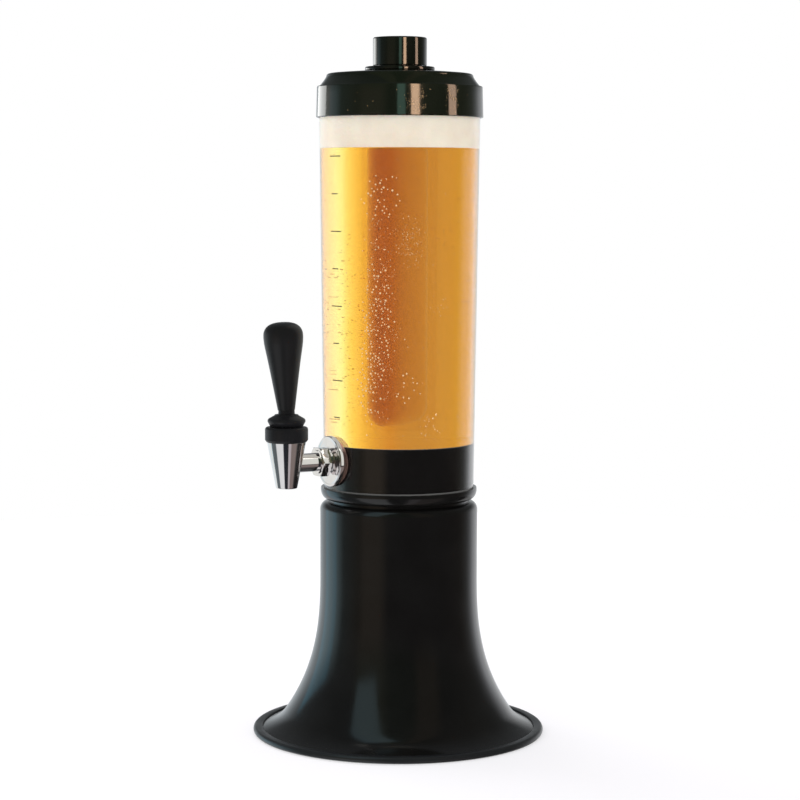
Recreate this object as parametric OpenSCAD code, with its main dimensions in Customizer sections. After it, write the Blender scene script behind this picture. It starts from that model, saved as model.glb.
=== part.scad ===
// Beer tower dispenser: a bell base, a clear tapered tube with a lift-off lid, a hanging ice tube
// and a lever tap. Millimetres, +Z up. The origin is the centre of the base on the ground, and
// the tap points towards -Y.

/* [Base] */
// Height of the base, from the ground to the deck that the cup stands on
base_h = 187.2; // [165:0.1:230]
// Radius of the straight neck
neck_r = 63; // [60:0.1:75]
// Wall of the base shell
base_wall = 2.6; // [2:0.1:4]
// Height where the neck starts to flare
flare_top = 132; // [100:1:150]
// Power of the flare's curve
flare_power = 2.8; // [2:0.1:4]
// Height over which the foot curls out to the rim
curl_h = 14; // [10:0.5:20]
// Reach of that curl
curl_reach = 8.5; // [4:0.5:12]
// Size of the rounding between the neck and the deck
deck_round = 6.4; // [3:0.1:8]
// Height of the seam between the flared foot and the neck
seam_z = 66; // [50:1:90]
// Height of the half-laps, at that seam and at the deck's
seam_lap = 6; // [4:0.5:10]

/* [Rim ring] */
// Outer radius of the ring
rim_r = 116.9; // [105:0.1:130]
// Height of the ring
rim_h = 5.4; // [5:0.1:8]
// Radial width of the ring
rim_w = 7.4; // [6:0.1:10]
// Depth of the slot that grips the base's edge
rim_slot = 4; // [2:0.1:4.5]
// Rubber under the base's edge
rim_pad = 1.6; // [1:0.1:2.2]

/* [Cup] */
// Height of the groove between the base and the cup's shoulder
groove_h = 2.3; // [1.5:0.1:4]
// Radius at the bottom of the groove
waist_r = 56.1; // [53.5:0.1:58]
// Height of the shoulder
shoulder_h = 9; // [7:0.1:12]
// Step from the tube's wall out to the shoulder
shoulder_step = 2.6; // [1:0.1:4]
// Height of the cup's wall inside the tube
cup_wall_h = 31; // [26:0.1:45]
// Thickness of that wall
cup_wall = 1.6; // [1.2:0.1:2]
// Thickness of the cup's floor
floor_t = 3; // [2.5:0.1:5]
// Fillet between the floor and the wall
floor_fillet = 6; // [3:0.5:9]
// Radius of the spigot that enters the base
spigot_r = 50; // [44:0.1:51]
// Depth of the spigot
spigot_h = 12; // [8:0.5:16]
// Wall of the spigot
spigot_wall = 3; // [2:0.1:4]

/* [Cup screws] */
// Number of screws
screw_n = 4; // [3:1:6]
// Radius of the circle that the screws stand on
screw_pcr = 35; // [30:0.5:37]
// Diameter of the screws
screw_d = 5; // [4:0.5:6]
// Diameter of the screws' heads
screw_head_d = 9.5; // [9:0.1:11]
// Height of the heads
screw_head_h = 3.2; // [2.5:0.1:4]
// Length under the head
screw_len = 16; // [12:0.5:18]

/* [Tube] */
// Height of the tube
tube_h = 310.6; // [260:0.1:400]
// Outer radius at the lower end
tube_r0 = 59.9; // [58:0.1:62]
// Outer radius at the upper end
tube_r1 = 64; // [62:0.1:68]
// Wall of the tube
tube_wall = 3; // [2.8:0.1:4]
// Thickness of the gasket under the tube
gasket_t = 1; // [0.6:0.1:2]

/* [Graduation] */
// Number of ticks
tick_n = 8; // [4:1:8]
// Distance from one tick to the next
tick_pitch = 29.13; // [20:0.01:30]
// Height of the topmost tick above the tube's lower end
tick_top = 261.8; // [230:0.1:270]
// Height of a tick's line
tick_w = 0.8; // [0.5:0.1:1.2]
// Thickness of the ink
tick_t = 0.2; // [0.15:0.05:0.4]
// Angle over which a long tick runs
tick_long = 12; // [8:0.5:20]
// Angle over which a short tick runs
tick_short = 7; // [4:0.5:10]
// Angle from the tap to the start of the ticks
tick_start = 1; // [0:0.5:10]

/* [Drink] */
// Distance from the tube's upper end down to the beer
fill_drop = 42.3; // [36:0.1:60]
// Gap between the foam and the lid's plug
foam_gap = 4.5; // [2:0.1:8]

/* [Lid] */
// Depth of the lid's ring below the tube's upper end
ring_drop = 18; // [12:0.1:30]
// Height of the lid's ring
ring_h = 24.7; // [22:0.1:36]
// Wall of the ring
ring_wall = 1.8; // [1.5:0.1:3]
// Inward lean of the ring's outside over its height
ring_lean = 0.6; // [0:0.1:1]
// Radius of the deck's edge
deck_r = 58.2; // [55:0.1:60]
// Height from the ring's top to the deck's edge
deck_rise = 9.7; // [8:0.1:14]
// Further rise of the deck to the ice tube's flange
dome_rise = 2.4; // [1:0.1:5]
// Wall of the lid's top
lid_wall = 2.6; // [2:0.1:4]
// Depth of the lid's plug inside the tube
plug_h = 9.5; // [8:0.1:12]
// Wall of the plug
plug_wall = 3; // [2.5:0.1:4]
// Section of the seal round the plug
seal_w = 2.4; // [1.6:0.1:3]
// Wall of the collar that guides the ice tube
guide_wall = 2.5; // [2:0.1:4]
// Depth of that collar
guide_h = 8; // [4:0.1:12]

/* [Ice tube] */
// Height of the ice tube's floor above the tube's lower end
ice_floor = 46; // [44:0.1:120]
// Outer radius at the lower end
ice_r0 = 22; // [20:0.1:23]
// Outer radius at the lid
ice_r1 = 23; // [22:0.1:24]
// Wall of the ice tube
ice_wall = 2; // [1.5:0.1:3]
// Rounding of its lower end
ice_round = 9; // [4:0.5:12]
// Height of the ice above the beer
ice_over = 4.6; // [0:0.1:20]
// Radius of the flange that rests on the lid
flange_r = 27.6; // [26.5:0.1:30]
// Thickness of the flange
flange_t = 3; // [2:0.1:4]
// Outer radius of the screw neck
mouth_r = 18; // [16:0.1:18.5]
// Wall of the screw neck
mouth_wall = 2.4; // [2:0.1:3]
// Height of the screw neck
mouth_h = 16.5; // [10:0.1:17]

/* [Knob] */
// Radius of the knob
knob_r = 21.3; // [20.8:0.1:25]
// Height of the knob
knob_h = 22.2; // [21:0.1:30]
// Gap between the flange and the knob
knob_gap = 0.7; // [0.4:0.1:2]
// Thickness of the sealing disc
liner_t = 1.6; // [1:0.1:2.5]

/* [Tap place] */
// Height of the tap's axis above the tube's lower end
tap_rise = 22.8; // [20:0.1:26]
// Distance from the tower's axis to the spout's axis
tap_reach = 101.5; // [96:0.1:115]

/* [Tap shank] */
// Diameter of the shank
shank_d = 14.6; // [12:0.1:15]
// Bore of the shank
shank_bore = 9; // [6:0.1:9.5]
// Diameter of the escutcheon
plate_d = 40; // [34:0.1:42]
// Thickness of the escutcheon's edge
plate_t = 3.4; // [2:0.1:4]
// Thickness of the outer gasket in front of the tube
pad_t = 1; // [0.8:0.1:2]
// Diameter of the two silicone gaskets
pad_d = 38; // [32:0.1:39]
// Diameter of the escutcheon's boss
boss_d = 19.5; // [18:0.1:21]
// Length of the boss
boss_len = 2.8; // [1:0.1:4]
// Jam nut across its flats
jam_af = 22; // [20:0.1:24]
// Length of the jam nut's hexagon
jam_len = 7.4; // [5:0.1:10]
// Length of the jam nut's round collar
jam_collar = 1.2; // [1:0.1:4]
// Inner lock nut across its flats
lock_af = 24; // [22:0.1:26]
// Length of the lock nut
lock_len = 5; // [4:0.1:6]
// Depth of the inner gasket behind the wall
inner_pad = 4.6; // [4:0.1:5.5]

/* [Spout] */
// Radius of the cone at its top
cone_r1 = 15.2; // [14.8:0.1:16.5]
// Radius of the cone at its outlet
cone_r0 = 8.3; // [8:0.1:9.5]
// Drop from the shank's axis to the outlet
cone_drop = 19; // [17:0.1:24]
// Rise from the shank's axis to the top of the cone
cone_rise = 17.3; // [16:0.1:20]
// Wall of the cone
cone_wall = 2.3; // [1.8:0.1:2.6]
// Bore of the outlet
outlet_r = 5.2; // [4:0.1:5.6]
// Height from the outlet to the valve seat
seat_h = 8; // [6:0.1:9]
// Height of the seat's cone
seat_cone = 3; // [2:0.1:3.5]

/* [Bonnet] */
// Outer radius of the bonnet nut
nut_r = 16.8; // [16.2:0.1:18]
// Height of the nut
nut_h = 11.8; // [11:0.1:14]
// Thickness of the nut's top
nut_top = 2.5; // [2:0.1:3]
// Radius of the threaded neck inside the nut
thread_r = 13.2; // [12.8:0.1:13.6]
// Thickness of the guide washer
guide_t = 1; // [0.8:0.1:1.5]

/* [Valve] */
// Diameter of the stem
stem_d = 5.4; // [4.6:0.1:5.6]
// Radius of the seat plug
plug_r = 7.2; // [6.6:0.1:7.4]
// Height of the seat plug
plug_len = 9.6; // [8:0.1:10]
// Mean radius of the spring
spring_r = 5.4; // [4.8:0.1:6.5]
// Wire of the spring
wire_d = 1; // [0.8:0.1:1.2]
// Turns of the spring
spring_n = 6; // [4:1:8]

/* [Lever] */
// Radius of the saucer at its widest
saucer_r = 14.8; // [13.5:0.1:16]
// Radius of the saucer's underside, on which it rocks
rock_r = 12; // [11:0.1:12.5]
// Height of the pivot pin above the bonnet nut
pivot_h = 5; // [4.6:0.1:5.4]
// Height of the saucer above the bonnet nut
saucer_h = 9.8; // [9.6:0.1:11]
// Diameter of the pivot pin
pin_d = 2.4; // [1.8:0.1:2.6]

/* [Handle] */
// Height of the handle
handle_h = 68.5; // [55:0.1:90]
// Radius of its neck
handle_neck = 6.7; // [6:0.1:7.5]
// Greatest radius, near its top
handle_r = 15.5; // [12:0.1:18]
// Height of that place, as a part of the handle's height
handle_full = 0.83; // [0.7:0.005:0.9]
// Outward lean of the handle
handle_lean = 2.6; // [0:0.1:6]
// Height of the ferrule between the saucer and the handle
ferrule_h = 3.2; // [2:0.1:5]
// Diameter of the stud inside the handle
stud_d = 5; // [4:0.1:6]
// Length of the stud
stud_len = 18; // [12:0.5:26]

/* [Fits] */
// Gap between pieces that slide past each other
slide_gap = 0.35; // [0.3:0.05:0.5]
// Gap under a piece that rests on another body
rest_gap = 0.2; // [0.1:0.05:0.4]
// Radial clearance of a running pin
run_gap = 0.05; // [0.02:0.01:0.1]
// Radial clearance of a hole for a shank or a screw
hole_gap = 0.4; // [0.2:0.05:0.8]
// Thickness cut away beyond a face, so that a hole is open
cut = 1; // [0.5:0.5:2]

/* [Hidden] */
$fn = 96;

black = [0.05, 0.05, 0.055];
chrome = [0.8, 0.8, 0.82];

// Heights of the tower
edge_top = rim_pad + base_wall;
pocket_z = base_h - spigot_h;
deck_seam = base_h - deck_round - seam_lap;
tube_z = base_h + groove_h + shoulder_h + gasket_t;
cup_z = tube_z + cup_wall_h;
tube_top = tube_z + tube_h;
floor_z = base_h + groove_h + shoulder_h / 2 + floor_t;
fill_z = tube_top - fill_drop;

// Heights and radii of the lid
ring_z = tube_top - ring_drop;
ring_top = ring_z + ring_h;
ring_in = tube_r1 + slide_gap;
ring_out = ring_in + ring_wall;
deck_z = ring_top + deck_rise;
seat_z = deck_z + dome_rise;
lid_under = tube_top + rest_gap;
plug_z0 = lid_under - plug_h;
foam_z = plug_z0 - foam_gap;
neck_in = ring_out - ring_lean - 2.2;
edge_round = 2.2;

// Heights and radii of the ice tube and its knob
ice_z = tube_z + ice_floor;
flange_z = seat_z + rest_gap;
mouth_z = flange_z + flange_t;
mouth_top = mouth_z + mouth_h;
knob_z = mouth_z + knob_gap;
knob_top = knob_z + knob_h;
cavity_r = mouth_r + slide_gap;
liner_z = mouth_top + rest_gap;
guide_r = ice_r1 + slide_gap;

// Places along the tap: y is measured from the tower's axis, towards the tap
tap_z = tube_z + tap_rise;
tap_wall_r = tube_r(tap_z);
plate_y = tap_wall_r + pad_t;
boss_y = plate_y + plate_t;
jam_y = boss_y + boss_len;
tank_r = tap_wall_r - tube_wall;
inner_y = tank_r - inner_pad;
lock_y = inner_y - lock_len;
shank_end = lock_y - 1.5;

// Heights of the tap
outlet_z = tap_z - cone_drop;
cone_top = tap_z + cone_rise;
seat0_z = outlet_z + seat_h;
seat1_z = seat0_z + seat_cone;
nut_z = cone_top;
nut_under = nut_z + nut_h - nut_top;
neck_z = nut_under - guide_t;
rock_z = nut_z + nut_h;
saucer_z = rock_z + rest_gap;
pivot_z = rock_z + pivot_h;
saucer_top = saucer_z + saucer_h;
chamber_r = thread_r - cone_wall;
seat_r = cone_in(seat1_z);
// Height that the chamber's cone takes for each unit of its radius
chamber_run = (cone_top - outlet_z) / (cone_r1 - cone_r0);
plug_gap = 0.4;
plug_z = seat0_z + plug_gap;
collar_z = plug_z + plug_len + 5;
collar_t = 1.6;
spring_z = collar_z + collar_t;
stem_r = stem_d / 2;
slot_x = stem_r + slide_gap;
slot_y = stem_r + pivot_h * tan(28) + slide_gap;
slot_top = stem_r + slide_gap;
pin_half = rock_r - 1.5;
stud_z = saucer_top - 0.4;
handle_z = saucer_top + ferrule_h;

// Points on an elliptic arc
function arc(c, rx, ry, a0, a1, n = 8) =
    [for (i = [0:n]) let (a = a0 + (a1 - a0) * i / n) [c[0] + rx * cos(a), c[1] + ry * sin(a)]];

// The flare of the base: its radius at a height, and how fast that changes
flare_reach = rim_r - rim_w - neck_r - curl_reach;
function flare_u(z) = max(0, (flare_top - z) / (flare_top - edge_top));
function curl_u(z) = max(0, 1 - (z - edge_top) / curl_h);
function flare_r(z) = neck_r + flare_reach * pow(flare_u(z), flare_power) + curl_reach * pow(curl_u(z), 3);
function flare_slope(z) =
    -flare_reach * flare_power * pow(flare_u(z), flare_power - 1) / (flare_top - edge_top)
    - 3 * curl_reach * pow(curl_u(z), 2) / curl_h;
// A point of the flare at a height, moved inwards across the wall
function flare_point(z, t) =
    let (s = flare_slope(z), k = t / sqrt(1 + s * s)) [flare_r(z) - k, z + s * k];
flare_steps = 26;
function flare_z(i) = edge_top + (flare_top - edge_top) * pow(i / flare_steps, 1.6);

// Outer radius of the tube, and of the ice tube, at a height
function tube_r(z) = tube_r0 + (tube_r1 - tube_r0) * (z - tube_z) / tube_h;
function tank_in(z) = tube_r(z) - tube_wall;
function ice_r(z) = ice_r0 + (ice_r1 - ice_r0) * (z - ice_z) / (seat_z - ice_z);
// Outer and inner radius of the spout's cone at a height
function cone_out(z) = cone_r0 + (cone_r1 - cone_r0) * (z - outlet_z) / (cone_top - outlet_z);
function cone_in(z) = min(cone_out(z) - cone_wall, chamber_r);

// Outline of the ice tube's outside below a height, grown by e
function ice_outline(top, e) = concat(
    [[0, ice_z - e]],
    arc([ice_r0 - ice_round, ice_z + ice_round], ice_round + e, ice_round + e, -90, 0, 6),
    [[ice_r(top) + e, top], [0, top]]);
// Outline of the space inside the cup, up to a height
function tank_outline(top) = concat(
    [[0, floor_z]],
    arc([tank_in(floor_z + floor_fillet) - floor_fillet, floor_z + floor_fillet],
        floor_fillet, floor_fillet, -90, 0, 6),
    [[tank_in(top), top], [0, top]]);

// Places a child, drawn along +Z from the tower's axis, on the tap's shank
module along_tap() {
    translate([0, 0, tap_z]) rotate([90, 0, 0]) children();
}
// A cylinder on the tap's shank, between two distances from the tower's axis
module shank_part(y0, y1, d, n = 96) {
    along_tap() translate([0, 0, y0]) cylinder(h = y1 - y0, d = d, $fn = n);
}
// A hexagon on the tap's shank
module shank_hex(y0, y1, af) {
    along_tap() translate([0, 0, y0]) rotate(30) cylinder(h = y1 - y0, d = af / cos(30), $fn = 6);
}
module at_spout() {
    translate([0, -tap_reach, 0]) children();
}
module screw_places() {
    for (i = [0:screw_n - 1]) rotate(45 + 360 * i / screw_n) translate([screw_pcr, 0, 0]) children();
}

// Outline of the whole base: flared shell with a deck and a pocket for the cup's spigot
module base_outline() {
    socket_r = spigot_r + hole_gap;
    socket_out = socket_r + base_wall;
    under_z = pocket_z - base_wall;
    outer = concat(
        [[rim_r - rim_w + rim_slot, rim_pad], [rim_r - rim_w + rim_slot, edge_top]],
        [for (i = [0:flare_steps]) flare_point(flare_z(i), 0)],
        arc([neck_r - deck_round, base_h - deck_round], deck_round, deck_round, 0, 90));
    inner = concat(
        arc([neck_r - deck_round, base_h - deck_round],
            deck_round - base_wall, deck_round - base_wall, 90, 0),
        [for (i = [flare_steps:-1:0]) flare_point(flare_z(i), base_wall)]);
    pocket = [[socket_r, base_h], [socket_r, pocket_z], [0, pocket_z], [0, under_z],
              [socket_out, under_z], [socket_out, base_h - base_wall]];
    polygon(concat(outer, pocket, inner));
}
// Outline below the foot's seam, with the half of its lap that stands inside the neck
module foot_region() {
    low = flare_point(seam_z, base_wall / 2);
    high = flare_point(seam_z + seam_lap, base_wall / 2);
    polygon([[0, -cut], [rim_r, -cut], [rim_r, low[1]], low, high, [0, high[1]]]);
}
// Outline of the deck and its pocket, with the half of the lap that hangs outside the neck
module deck_region() {
    pocket_out = spigot_r + hole_gap + 2 * base_wall;
    under_z = pocket_z - base_wall - cut;
    low = flare_point(deck_seam, base_wall / 2);
    high = flare_point(deck_seam + seam_lap, base_wall / 2);
    polygon([[0, under_z], [pocket_out, under_z], [pocket_out, high[1]], high, low,
             [rim_r, low[1]], [rim_r, base_h + cut], [0, base_h + cut]]);
}

// Flared foot of the base, up to the seam
module base_bell() {
    color(black)
    rotate_extrude() intersection() {
        base_outline();
        foot_region();
    }
}

// Neck of the base: the sleeve between the foot and the deck
module base_neck() {
    color(black)
    rotate_extrude() difference() {
        base_outline();
        foot_region();
        deck_region();
    }
}

// Deck of the base, with the pocket for the cup's spigot
module base_deck() {
    color(black)
    difference() {
        rotate_extrude() intersection() {
            base_outline();
            deck_region();
        }
        screw_places() translate([0, 0, pocket_z - base_wall - cut])
            cylinder(h = base_wall + 2 * cut, d = screw_d + 2 * hole_gap);
    }
}

// Rubber ring that grips the base's edge and stands on the ground
module rim_ring() {
    inner_r = rim_r - rim_w;
    slot_r = inner_r + rim_slot;
    bead = (rim_h - 0.6) / 2;
    lip = rim_h - edge_top;
    color(black)
    rotate_extrude() polygon(concat(
        [[inner_r, 0], [rim_r - bead, 0]],
        arc([rim_r - bead, rim_h / 2], bead, rim_h / 2, -60, 90),
        arc([inner_r + lip * 0.6, rim_h - lip * 0.6], lip * 0.6, lip * 0.6, 90, 180, 4),
        [[inner_r, edge_top], [slot_r, edge_top], [slot_r, rim_pad], [inner_r, rim_pad]]));
}

// Screws that hold the cup to the base, from below
module cup_screws() {
    under_z = pocket_z - base_wall;
    color(chrome)
    screw_places() translate([0, 0, under_z]) {
        translate([0, 0, -screw_head_h]) difference() {
            cylinder(h = screw_head_h, d = screw_head_d);
            translate([0, 0, -cut]) cylinder(h = screw_head_h * 0.6 + cut, d = screw_d * 0.6, $fn = 6);
        }
        cylinder(h = screw_len, d = screw_d);
    }
}

// Inner cup: floor of the tank, shoulder, waist and spigot in one moulding
module tank_cup() {
    seat_h_z = tube_z - gasket_t;
    shoulder_r = tube_r0 + shoulder_step;
    under_z = floor_z - floor_t;
    skin = tube_wall - cup_wall;
    foot_z = base_h + groove_h;
    curve_h = shoulder_h - 1.2;
    color(black)
    difference() {
        union() {
            rotate_extrude() difference() {
                polygon(concat(
                    [[0, pocket_z], [spigot_r, pocket_z], [spigot_r, base_h], [waist_r, base_h],
                     [waist_r, foot_z]],
                    arc([waist_r + 1.5, foot_z + curve_h],
                        shoulder_r - waist_r - 1.5, curve_h, -90, 0),
                    [[shoulder_r - 0.3, seat_h_z], [tube_r(tube_z) - skin, seat_h_z],
                     [tube_r(tube_z) - skin, tube_z],
                     [tube_r(cup_z) - skin, cup_z], [0, cup_z]]));
                polygon(tank_outline(cup_z + cut));
                polygon([[0, pocket_z - cut], [spigot_r - spigot_wall, pocket_z - cut],
                         [spigot_r - spigot_wall, under_z - 4], [spigot_r - spigot_wall - 4, under_z],
                         [0, under_z]]);
            }
            screw_places() translate([0, 0, pocket_z])
                cylinder(h = under_z - pocket_z + floor_t / 2, d = screw_d * 2);
        }
        screw_places() translate([0, 0, pocket_z - cut])
            cylinder(h = screw_len - base_wall + cut, d = screw_d);
        shank_part(tank_r - 2 * tube_wall, tap_wall_r + cut, shank_d + 2 * hole_gap);
        translate([-shank_d / 2 - hole_gap, -tap_wall_r - cut, tap_z])
            cube([shank_d + 2 * hole_gap, 2 * tube_wall + cut, cup_z - tap_z + cut]);
    }
}

// Flat gasket between the tube's lower end and the cup's shoulder
module tank_gasket() {
    skin = tube_wall - cup_wall;
    color("dimgray")
    rotate_extrude() translate([tube_r0 - skin, tube_z - gasket_t]) square([skin, gasket_t]);
}

// Clear tapered tube, stepped at its lower end for the cup's wall
module clear_tube() {
    skin = tube_wall - cup_wall;
    soft = 0.6;
    color([0.9, 0.95, 1, 0.35])
    difference() {
        rotate_extrude() polygon([
            [tube_r(tube_z) - skin, tube_z], [tube_r(tube_z), tube_z],
            [tube_r(tube_top - soft), tube_top - soft], [tube_r1 - soft, tube_top],
            [tube_r1 - tube_wall, tube_top],
            [tank_in(cup_z), cup_z], [tube_r(cup_z) - skin, cup_z]]);
        shank_part(tank_r - tube_wall, tap_wall_r + 2 * cut, shank_d + 2 * hole_gap);
    }
}

// Printed ticks on the tube, long and short in turn
module graduation_ticks() {
    color(black)
    for (i = [0:tick_n - 1]) {
        z0 = tube_z + tick_top - i * tick_pitch - tick_w / 2;
        z1 = z0 + tick_w;
        sweep = i % 2 == 0 ? tick_long : tick_short;
        inset = (tick_long - tick_short) / 3 * (i % 2);
        rotate(tick_start + inset - 90) rotate_extrude(angle = sweep) polygon([
            [tube_r(z0), z0], [tube_r(z0) + tick_t, z0],
            [tube_r(z1) + tick_t, z1], [tube_r(z1), z1]]);
    }
}

// Beer in the tank, with room for the ice tube and for the tap's inner fastening
module beer() {
    color([0.95, 0.62, 0.1, 0.9])
    difference() {
        rotate_extrude() difference() {
            polygon(tank_outline(fill_z));
            polygon(ice_outline(fill_z + cut, slide_gap));
        }
        shank_part(shank_end - 2, tap_wall_r, pad_d + 1);
    }
}

// Head of foam on the beer
module foam_head() {
    color([0.97, 0.94, 0.86])
    rotate_extrude() polygon([
        [ice_r(fill_z) + slide_gap, fill_z], [tank_in(fill_z), fill_z],
        [tank_in(foam_z), foam_z], [ice_r(foam_z) + slide_gap, foam_z]]);
}

// Lid: ring over the tube, plug inside it, and a domed deck with a guide for the ice tube
module lid() {
    plug_out = tank_in(plug_z0) - slide_gap;
    plug_in = plug_out - plug_wall;
    ring_soft = 1;
    outer = concat(
        [[ring_in, ring_z], [ring_out - 0.5, ring_z], [ring_out, ring_z + 0.5]],
        arc([ring_out - ring_lean - ring_soft, ring_top - ring_soft], ring_soft, ring_soft, 0, 90, 4),
        [for (i = [0:6]) let (t = i / 6)
            [deck_r + (neck_in - deck_r) * pow(1 - t, 1.2),
             ring_top + 0.2 + (deck_z - edge_round - ring_top - 0.2) * t]],
        arc([deck_r - edge_round, deck_z - edge_round], edge_round, edge_round, 0, 80, 5),
        [[flange_r, seat_z], [guide_r, seat_z]]);
    under = deck_z - lid_wall;
    inner = [[guide_r, under - guide_h], [guide_r + guide_wall, under - guide_h],
             [guide_r + guide_wall, under + dome_rise / 2], [deck_r - lid_wall - edge_round, under],
             [deck_r - lid_wall, under - edge_round], [plug_in, lid_under + lid_wall],
             [plug_in, plug_z0], [plug_out - 0.5, plug_z0], [plug_out, plug_z0 + 0.5]];
    groove_z = lid_under - plug_h / 2 - seal_w / 2;
    groove = [[plug_out, groove_z], [plug_out - seal_w / 2, groove_z],
              [plug_out - seal_w / 2, groove_z + seal_w], [plug_out, groove_z + seal_w]];
    color(black)
    rotate_extrude() polygon(concat(
        outer, inner, groove, [[plug_out, lid_under], [ring_in, lid_under]]));
}

// Seal round the lid's plug
module lid_seal() {
    plug_out = tank_in(plug_z0) - slide_gap;
    groove_z = lid_under - plug_h / 2 - seal_w / 2;
    lip_r = tank_in(groove_z) - rest_gap;
    color("dimgray")
    rotate_extrude() polygon(concat(
        [[plug_out - seal_w / 2, groove_z], [plug_out, groove_z]],
        arc([plug_out, groove_z + seal_w / 2], lip_r - plug_out, seal_w / 2, -80, 80, 6),
        [[plug_out, groove_z + seal_w], [plug_out - seal_w / 2, groove_z + seal_w]]));
}

// Ice tube: hangs by its flange from the lid, and ends in a screw neck
module ice_tube() {
    soft = 1;
    mouth_in = mouth_r - mouth_wall;
    color([0.85, 0.92, 1, 0.4])
    rotate_extrude() difference() {
        polygon(concat(
            [[0, ice_z]],
            arc([ice_r0 - ice_round, ice_z + ice_round], ice_round, ice_round, -90, 0, 6),
            [[ice_r(flange_z), flange_z], [flange_r, flange_z]],
            arc([flange_r - soft, mouth_z - soft], soft, soft, 0, 90, 4),
            [[mouth_r, mouth_z], [mouth_r, mouth_top], [0, mouth_top]]));
        polygon(concat(
            [[0, ice_z + ice_wall]],
            arc([ice_r0 - ice_round, ice_z + ice_round],
                ice_round - ice_wall, ice_round - ice_wall, -90, 0, 6),
            [[ice_r(flange_z) - ice_wall, flange_z - mouth_wall], [mouth_in, mouth_z - 0.5],
             [mouth_in, mouth_top + cut], [0, mouth_top + cut]]));
    }
}

// Ice inside the ice tube
module ice_fill() {
    top = fill_z + ice_over;
    color([0.8, 0.9, 1])
    rotate_extrude() polygon(concat(
        [[0, ice_z + ice_wall]],
        arc([ice_r0 - ice_round, ice_z + ice_round],
            ice_round - ice_wall, ice_round - ice_wall, -90, 0, 6),
        [[ice_r(top) - ice_wall, top], [0, top]]));
}

// Sealing disc over the ice tube's mouth
module knob_liner() {
    color("gainsboro")
    translate([0, 0, liner_z]) cylinder(h = liner_t, r = mouth_r - slide_gap);
}

// Screw knob that closes the ice tube; the thread is drawn smooth
module ice_knob() {
    soft = 1.2;
    color(black)
    rotate_extrude() polygon(concat(
        [[cavity_r, knob_z], [knob_r - 0.5, knob_z], [knob_r, knob_z + 0.5]],
        arc([knob_r - soft, knob_top - soft], soft, soft, 0, 90, 5),
        [[0, knob_top], [0, liner_z + liner_t + rest_gap], [cavity_r, liner_z + liner_t + rest_gap]]));
}

// Chrome escutcheon: dished plate with a boss
module escutcheon() {
    plate_r = plate_d / 2;
    soft = 0.9;
    color(chrome)
    difference() {
        along_tap() rotate_extrude() polygon(concat(
            [[0, plate_y], [plate_r, plate_y], [plate_r, plate_y + plate_t - soft]],
            arc([plate_r - soft, plate_y + plate_t - soft], soft, soft, 0, 90, 4),
            [[plate_r - 3, boss_y - 0.5], [boss_d / 2 + 1, boss_y], [boss_d / 2, boss_y + 0.4],
             [boss_d / 2, jam_y], [0, jam_y]]));
        shank_part(plate_y - cut, jam_y + cut, shank_d + 2 * run_gap);
    }
}

// Silicone saddle between the tube and the escutcheon
module outer_gasket() {
    color([0.9, 0.75, 0.72, 0.6])
    difference() {
        shank_part(tap_wall_r - 8, plate_y, pad_d);
        rotate_extrude($fn = 360) polygon([
            [0, tube_z], [tube_r(tube_z), tube_z], [tube_r(tube_top), tube_top], [0, tube_top]]);
        shank_part(tap_wall_r - 8 - cut, plate_y + cut, shank_d + 2 * run_gap);
    }
}

// Silicone saddle inside the tank
module inner_gasket() {
    color([0.9, 0.75, 0.72, 0.6])
    intersection() {
        difference() {
            shank_part(inner_y, tap_wall_r, pad_d);
            shank_part(inner_y - cut, tap_wall_r + cut, shank_d + 2 * run_gap);
        }
        rotate_extrude($fn = 360) polygon([
            [0, floor_z], [tank_in(floor_z), floor_z], [tank_in(fill_z), fill_z], [0, fill_z]]);
    }
}

// Lock nut on the shank, inside the tank
module lock_nut() {
    color(chrome)
    difference() {
        shank_hex(lock_y, inner_y, lock_af);
        shank_part(lock_y - cut, inner_y + cut, shank_d);
    }
}

// Hexagon jam nut with a round collar, against the escutcheon
module jam_nut() {
    jam_end = jam_y + jam_len;
    color(chrome)
    difference() {
        union() {
            intersection() {
                shank_hex(jam_y, jam_end, jam_af);
                along_tap() rotate_extrude() polygon([
                    [0, jam_y], [jam_af / 2, jam_y], [jam_af * 0.58, jam_y + 1],
                    [jam_af * 0.58, jam_end - 1], [jam_af / 2, jam_end], [0, jam_end]]);
            }
            shank_part(jam_end - cut, jam_end + jam_collar, jam_af - 2.5);
        }
        shank_part(jam_y - cut, jam_end + jam_collar + cut, shank_d);
    }
}

// Tap body: shank and cone spout in one casting, with the valve's seat and chamber
module tap_body() {
    color(chrome)
    difference() {
        union() {
            shank_part(shank_end, tap_reach, shank_d);
            at_spout() rotate_extrude() polygon([
                [0, outlet_z], [cone_r0 - 0.4, outlet_z], [cone_out(outlet_z + 0.4), outlet_z + 0.4],
                [cone_r1, cone_top], [thread_r, cone_top], [thread_r, neck_z], [0, neck_z]]);
        }
        shank_part(shank_end - cut, tap_reach, shank_bore);
        at_spout() rotate_extrude() polygon([
            [0, outlet_z - cut], [outlet_r, outlet_z - cut], [outlet_r, seat0_z], [seat_r, seat1_z],
            [chamber_r, seat1_z + (chamber_r - seat_r) * chamber_run], [chamber_r, neck_z + cut],
            [0, neck_z + cut]]);
    }
}

// Bonnet nut over the tap body's neck
module bonnet_nut() {
    color(black)
    at_spout() rotate_extrude() polygon(concat(
        [[thread_r, nut_z], [nut_r - 1.2, nut_z], [nut_r, nut_z + 1.8]],
        arc([nut_r - 2, rock_z - 2], 2, 2, 0, 90, 5),
        [[stem_r + hole_gap, rock_z], [stem_r + hole_gap, nut_under], [thread_r, nut_under]]));
}

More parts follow.
